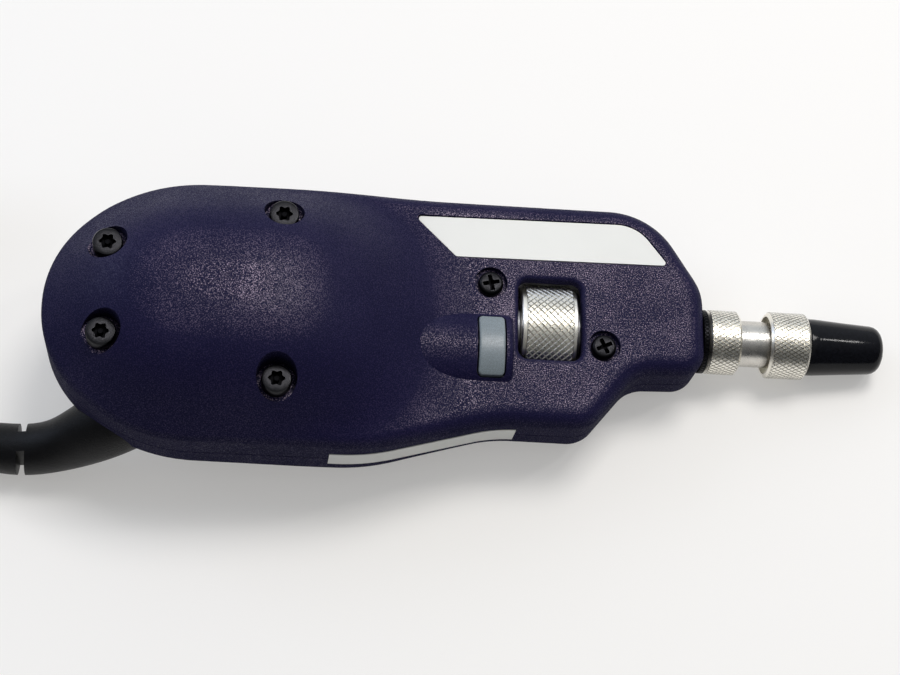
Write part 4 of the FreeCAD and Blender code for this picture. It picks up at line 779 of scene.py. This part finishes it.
class SCOPE_OT_cord(ScopeOperator):
    """Cord with its coil, tie and plug"""
    bl_idname = "scope.cord"
    bl_label = "Cord"

    def execute(self, context):
        settings = context.scene.scope_cord
        run = [MOUTH + Vector(step) for step in RUN_STEPS]
        centre = run[-1] + Vector((0.0, COIL_LAYERS[0], 0.0))
        centre.z = 0.0
        tail = [centre + Vector(step) for step in TAIL_STEPS]
        inside = run[0] - (run[1] - run[0]).normalized() * CORD_HIDDEN
        into_plug = tail[-1] + Vector((CORD_HIDDEN, 0.0, 0.0))
        points = [inside, *run[:-1], *self.coil(centre, settings.turn_points), *tail, into_plug]
        line = bpy.data.curves.new("cord", "CURVE")
        line.dimensions = "3D"
        line.bevel_depth = settings.diameter / 2
        line.bevel_resolution = 4
        line.use_fill_caps = True
        line.resolution_u = 5
        spline = line.splines.new("NURBS")
        spline.points.add(len(points) - 1)
        for control, point in zip(spline.points, points):
            control.co = (*point, 1.0)
        spline.order_u = 3
        spline.use_endpoint_u = True
        line.materials.append(MATERIALS["cord_jacket"])
        cord = bpy.data.objects.new("cord", line)
        context.scene.collection.objects.link(cord)
        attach(cord, "probe")
        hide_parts("cord_run", "cord_coil", "cord_tail")
        pieces = [self.tie(centre, settings.diameter), *self.plug(tail[-1])]
        return {"FINISHED"}

    def coil(self, centre, turn_points):
        """Turns about the coil's middle, clockwise from its lowest point; they change places on one side."""
        changes = len(COIL_TURNS) - 1
        last = FULL_TURN * changes + COIL_END
        window = COIL_CHANGE * COIL_SHARE
        lag = (COIL_CHANGE - window) / len(COIL_TURNS)
        # The spline runs inside its control points, so these stand a little further out
        swell = 2.0 / (1.0 + math.cos(FULL_TURN / turn_points))
        steps = round(last / FULL_TURN * turn_points)
        points = []
        for i in range(steps + 1):
            turn = last * i / steps
            lap = int(turn // FULL_TURN)
            passed = turn - FULL_TURN * lap - (FULL_TURN - COIL_CHANGE)
            seat = self.seat_of(lap)
            if lap < changes:
                share = (passed - lag * (changes - 1 - lap)) / window
                share = min(max(share, 0.0), 1.0)
                seat = seat.lerp(self.seat_of(lap + 1), share * share * (3.0 - 2.0 * share))
            reach = seat.x * swell
            points.append(centre + Vector((-reach * math.sin(turn), -reach * math.cos(turn), seat.y)))
        return points

    def seat_of(self, lap):
        """Distance from the coil's middle and height of one of its turns."""
        layer, row = COIL_TURNS[lap]
        return Vector((COIL_LAYERS[layer], COIL_ROWS[row]))

    def tie(self, centre, diameter):
        """Strap laid tight round the coil's turns."""
        seats = [self.seat_of(lap) for lap in range(len(COIL_TURNS))]
        strap = bmesh.new()
        points, edges = ring_of(strap, RING_SEGMENTS)
        for point in points:
            way = point.co.xy.normalized()
            reach = max(seats, key=way.dot) + way * diameter / 2
            point.co = (reach.x, -STRAP_WIDTH / 2, reach.y)
        for _ in range(STRAP_STEPS):
            points, edges = extruded(strap, edges)
            bmesh.ops.translate(strap, verts=points, vec=(0.0, STRAP_WIDTH / STRAP_STEPS, 0.0))
        bmesh.ops.recalc_face_normals(strap, faces=strap.faces)
        bmesh.ops.solidify(strap, geom=strap.faces, thickness=-STRAP_THICKNESS)
        bmesh.ops.recalc_face_normals(strap, faces=strap.faces)
        place = Matrix.Translation(centre) @ Matrix.Rotation(TIE_TURN, 4, "Z")
        return piece_of("coil_strap", strap, ("tie_black",), "probe", "coil_tie", place)

    def plug(self, rear):
        """Plug's moulded body with finger grips and a ribbed neck; its metal and tongue stay as they are."""
        rib, rib_gap = (6.6, 6.0, 2.0), (5.6, 5.4, 2.0)
        full, grip = (15.6, 7.6, 8.0), (15.0, 7.1, 8.0)
        stations = [(-8.0, 5.2, 5.2, 2.0), (-7.6, 5.8, 5.8, 2.0)]
        for x in (-6.8, -4.8, -2.8):
            stations += [(x, *rib), (x + 0.9, *rib), (x + 1.0, *rib_gap), (x + 1.8, *rib_gap)]
        stations += [(-0.8, 7.2, 6.2, 2.4), (0.0, 12.4, 6.6, 5.0), (0.7, 14.6, 7.2, 7.0), (1.8, *full)]
        for x in (6.0, 8.4, 10.8, 13.2):
            stations += [(x, *full), (x + 0.3, *grip), (x + 1.2, *grip), (x + 1.5, *full)]
        stations += [(24.6, *full), (25.5, 15.0, 7.2, 7.0), (26.0, 13.8, 6.2, 6.0)]
        place = Matrix.Translation(rear) @ Matrix.Scale(MM, 4)
        body = piece_of("plug_grip", sections_of(stations, PLUG_SEGMENTS), ("plug_black",), "probe",
                        "plug_body", place)
        finishes = {"plug_shell": "plug_metal", "plug_tongue": "tongue_white",
                    "plug_contacts": "contact_gold"}
        dress(finishes)
        return [body, *(frame["nodes"][node] for node in finishes)]


class SCOPE_OT_stage(ScopeOperator):
    """Floor, lights and camera"""
    bl_idname = "scope.stage"
    bl_label = "Stage"

    def execute(self, context):
        settings = context.scene.scope_stage
        scene = context.scene
        scene.view_settings.view_transform = "Standard"
        self.lay_floor(scene, settings.floor)
        scene.world = self.sky()
        for name, place, size, share, colour in LAMPS:
            lamp = bpy.data.lights.new(name, "AREA")
            lamp.size = size
            lamp.energy = settings.key * share
            lamp.color = colour
            self.aimed(scene, name, lamp, Vector(place), LAMPS_AIM)
        camera = bpy.data.cameras.new("camera")
        camera.lens = settings.lens
        camera.sensor_width = SENSOR_WIDTH
        scene.camera = self.aimed(scene, "camera", camera, CAMERA_PLACE, CAMERA_AIM)
        return {"FINISHED"}

    def lay_floor(self, scene, colour):
        """Wide floor just under the object."""
        grid = bmesh.new()
        bmesh.ops.create_grid(grid, x_segments=2, y_segments=2, size=FLOOR_SIZE)
        mesh = bpy.data.meshes.new("floor")
        grid.to_mesh(mesh)
        grid.free()
        mesh.materials.append(self.floor_finish(colour))
        ground = bpy.data.objects.new("floor", mesh)
        ground.location.z = -FLOOR_DROP
        scene.collection.objects.link(ground)

    def floor_finish(self, colour):
        """Pale floor that shows part of its white of its own accord, so that shadows on it stay light."""
        made = finish_of("floor", colour, roughness=0.9)
        ray = add(made, "ShaderNodeLightPath").outputs
        seen = math_of(made, "MAXIMUM", ray["Is Camera Ray"],
                       math_of(made, "MAXIMUM", ray["Is Glossy Ray"], ray["Is Transmission Ray"]))
        white = add(made, "ShaderNodeEmission", {"Color": (*colour, 1.0), "Strength": 1.0})
        mix = add(made, "ShaderNodeMixShader", {
            0: math_of(made, "MULTIPLY", seen, FLOOR_GLOW), 1: surface_of(made).outputs["BSDF"],
            2: white.outputs["Emission"]})
        result = made.node_tree.nodes["Material Output"]
        made.node_tree.links.new(mix.outputs["Shader"], result.inputs["Surface"])
        return made

    def sky(self):
        """World that is brightest above the far side of the floor."""
        world = bpy.data.worlds.new("studio")
        world.use_nodes = True
        dome = world.node_tree.nodes["Background"]
        dome.inputs["Color"].default_value = (*SKY_COLOUR, 1.0)
        way = add(world, "ShaderNodeTexCoord").outputs["Generated"]
        dot = add(world, "ShaderNodeVectorMath", {0: way, 1: SKY_WAY}, operation="DOT_PRODUCT")
        glow = math_of(world, "POWER", remap(world, dot.outputs["Value"], SKY_RISE), SKY_POWER)
        world.node_tree.links.new(remap(world, glow, target=SKY_STRENGTH), dome.inputs["Strength"])
        return world

    def aimed(self, scene, name, data, place, aim):
        """Put a lamp or the camera at a place, looking at another."""
        holder = bpy.data.objects.new(name, data)
        holder.location = place
        holder.rotation_mode = "QUATERNION"
        holder.rotation_quaternion = (aim - place).to_track_quat("-Z", "Y")
        scene.collection.objects.link(holder)
        return holder


class SCOPE_PT_panel(bpy.types.Panel):
    bl_idname = "SCOPE_PT_panel"
    bl_label = "Fiber inspection microscope"
    bl_space_type = "VIEW_3D"
    bl_region_type = "UI"
    bl_category = "Microscope"

    def draw(self, context):
        for operator in OPERATORS:
            self.layout.operator(operator.bl_idname)
        for name in SETTINGS:
            group = getattr(context.scene, name)
            for field in group.bl_rna.properties:
                if field.identifier not in ("rna_type", "name"):
                    self.layout.prop(group, field.identifier)


OPERATORS = (SCOPE_OT_materials, SCOPE_OT_housing, SCOPE_OT_inside, SCOPE_OT_wheel, SCOPE_OT_tip,
             SCOPE_OT_screws, SCOPE_OT_boot, SCOPE_OT_cord, SCOPE_OT_stage)
SETTINGS = {"scope_housing": HousingSettings, "scope_metal": MetalSettings, "scope_cord": CordSettings,
            "scope_stage": StageSettings}


def register():
    for group in SETTINGS.values():
        bpy.utils.register_class(group)
    for name, group in SETTINGS.items():
        setattr(bpy.types.Scene, name, PointerProperty(type=group))
    for operator in OPERATORS:
        bpy.utils.register_class(operator)
    bpy.utils.register_class(SCOPE_PT_panel)


def unregister():
    bpy.utils.unregister_class(SCOPE_PT_panel)
    for operator in reversed(OPERATORS):
        bpy.utils.unregister_class(operator)
    for name, group in SETTINGS.items():
        delattr(bpy.types.Scene, name)
        bpy.utils.unregister_class(group)


def main():
    register()
    bpy.ops.scope.materials()
    bpy.ops.scope.stage()
    bpy.ops.scope.housing()
    bpy.ops.scope.inside()
    bpy.ops.scope.wheel()
    bpy.ops.scope.tip()
    bpy.ops.scope.screws()
    bpy.ops.scope.boot()
    bpy.ops.scope.cord()


if __name__ == "__main__":
    main()
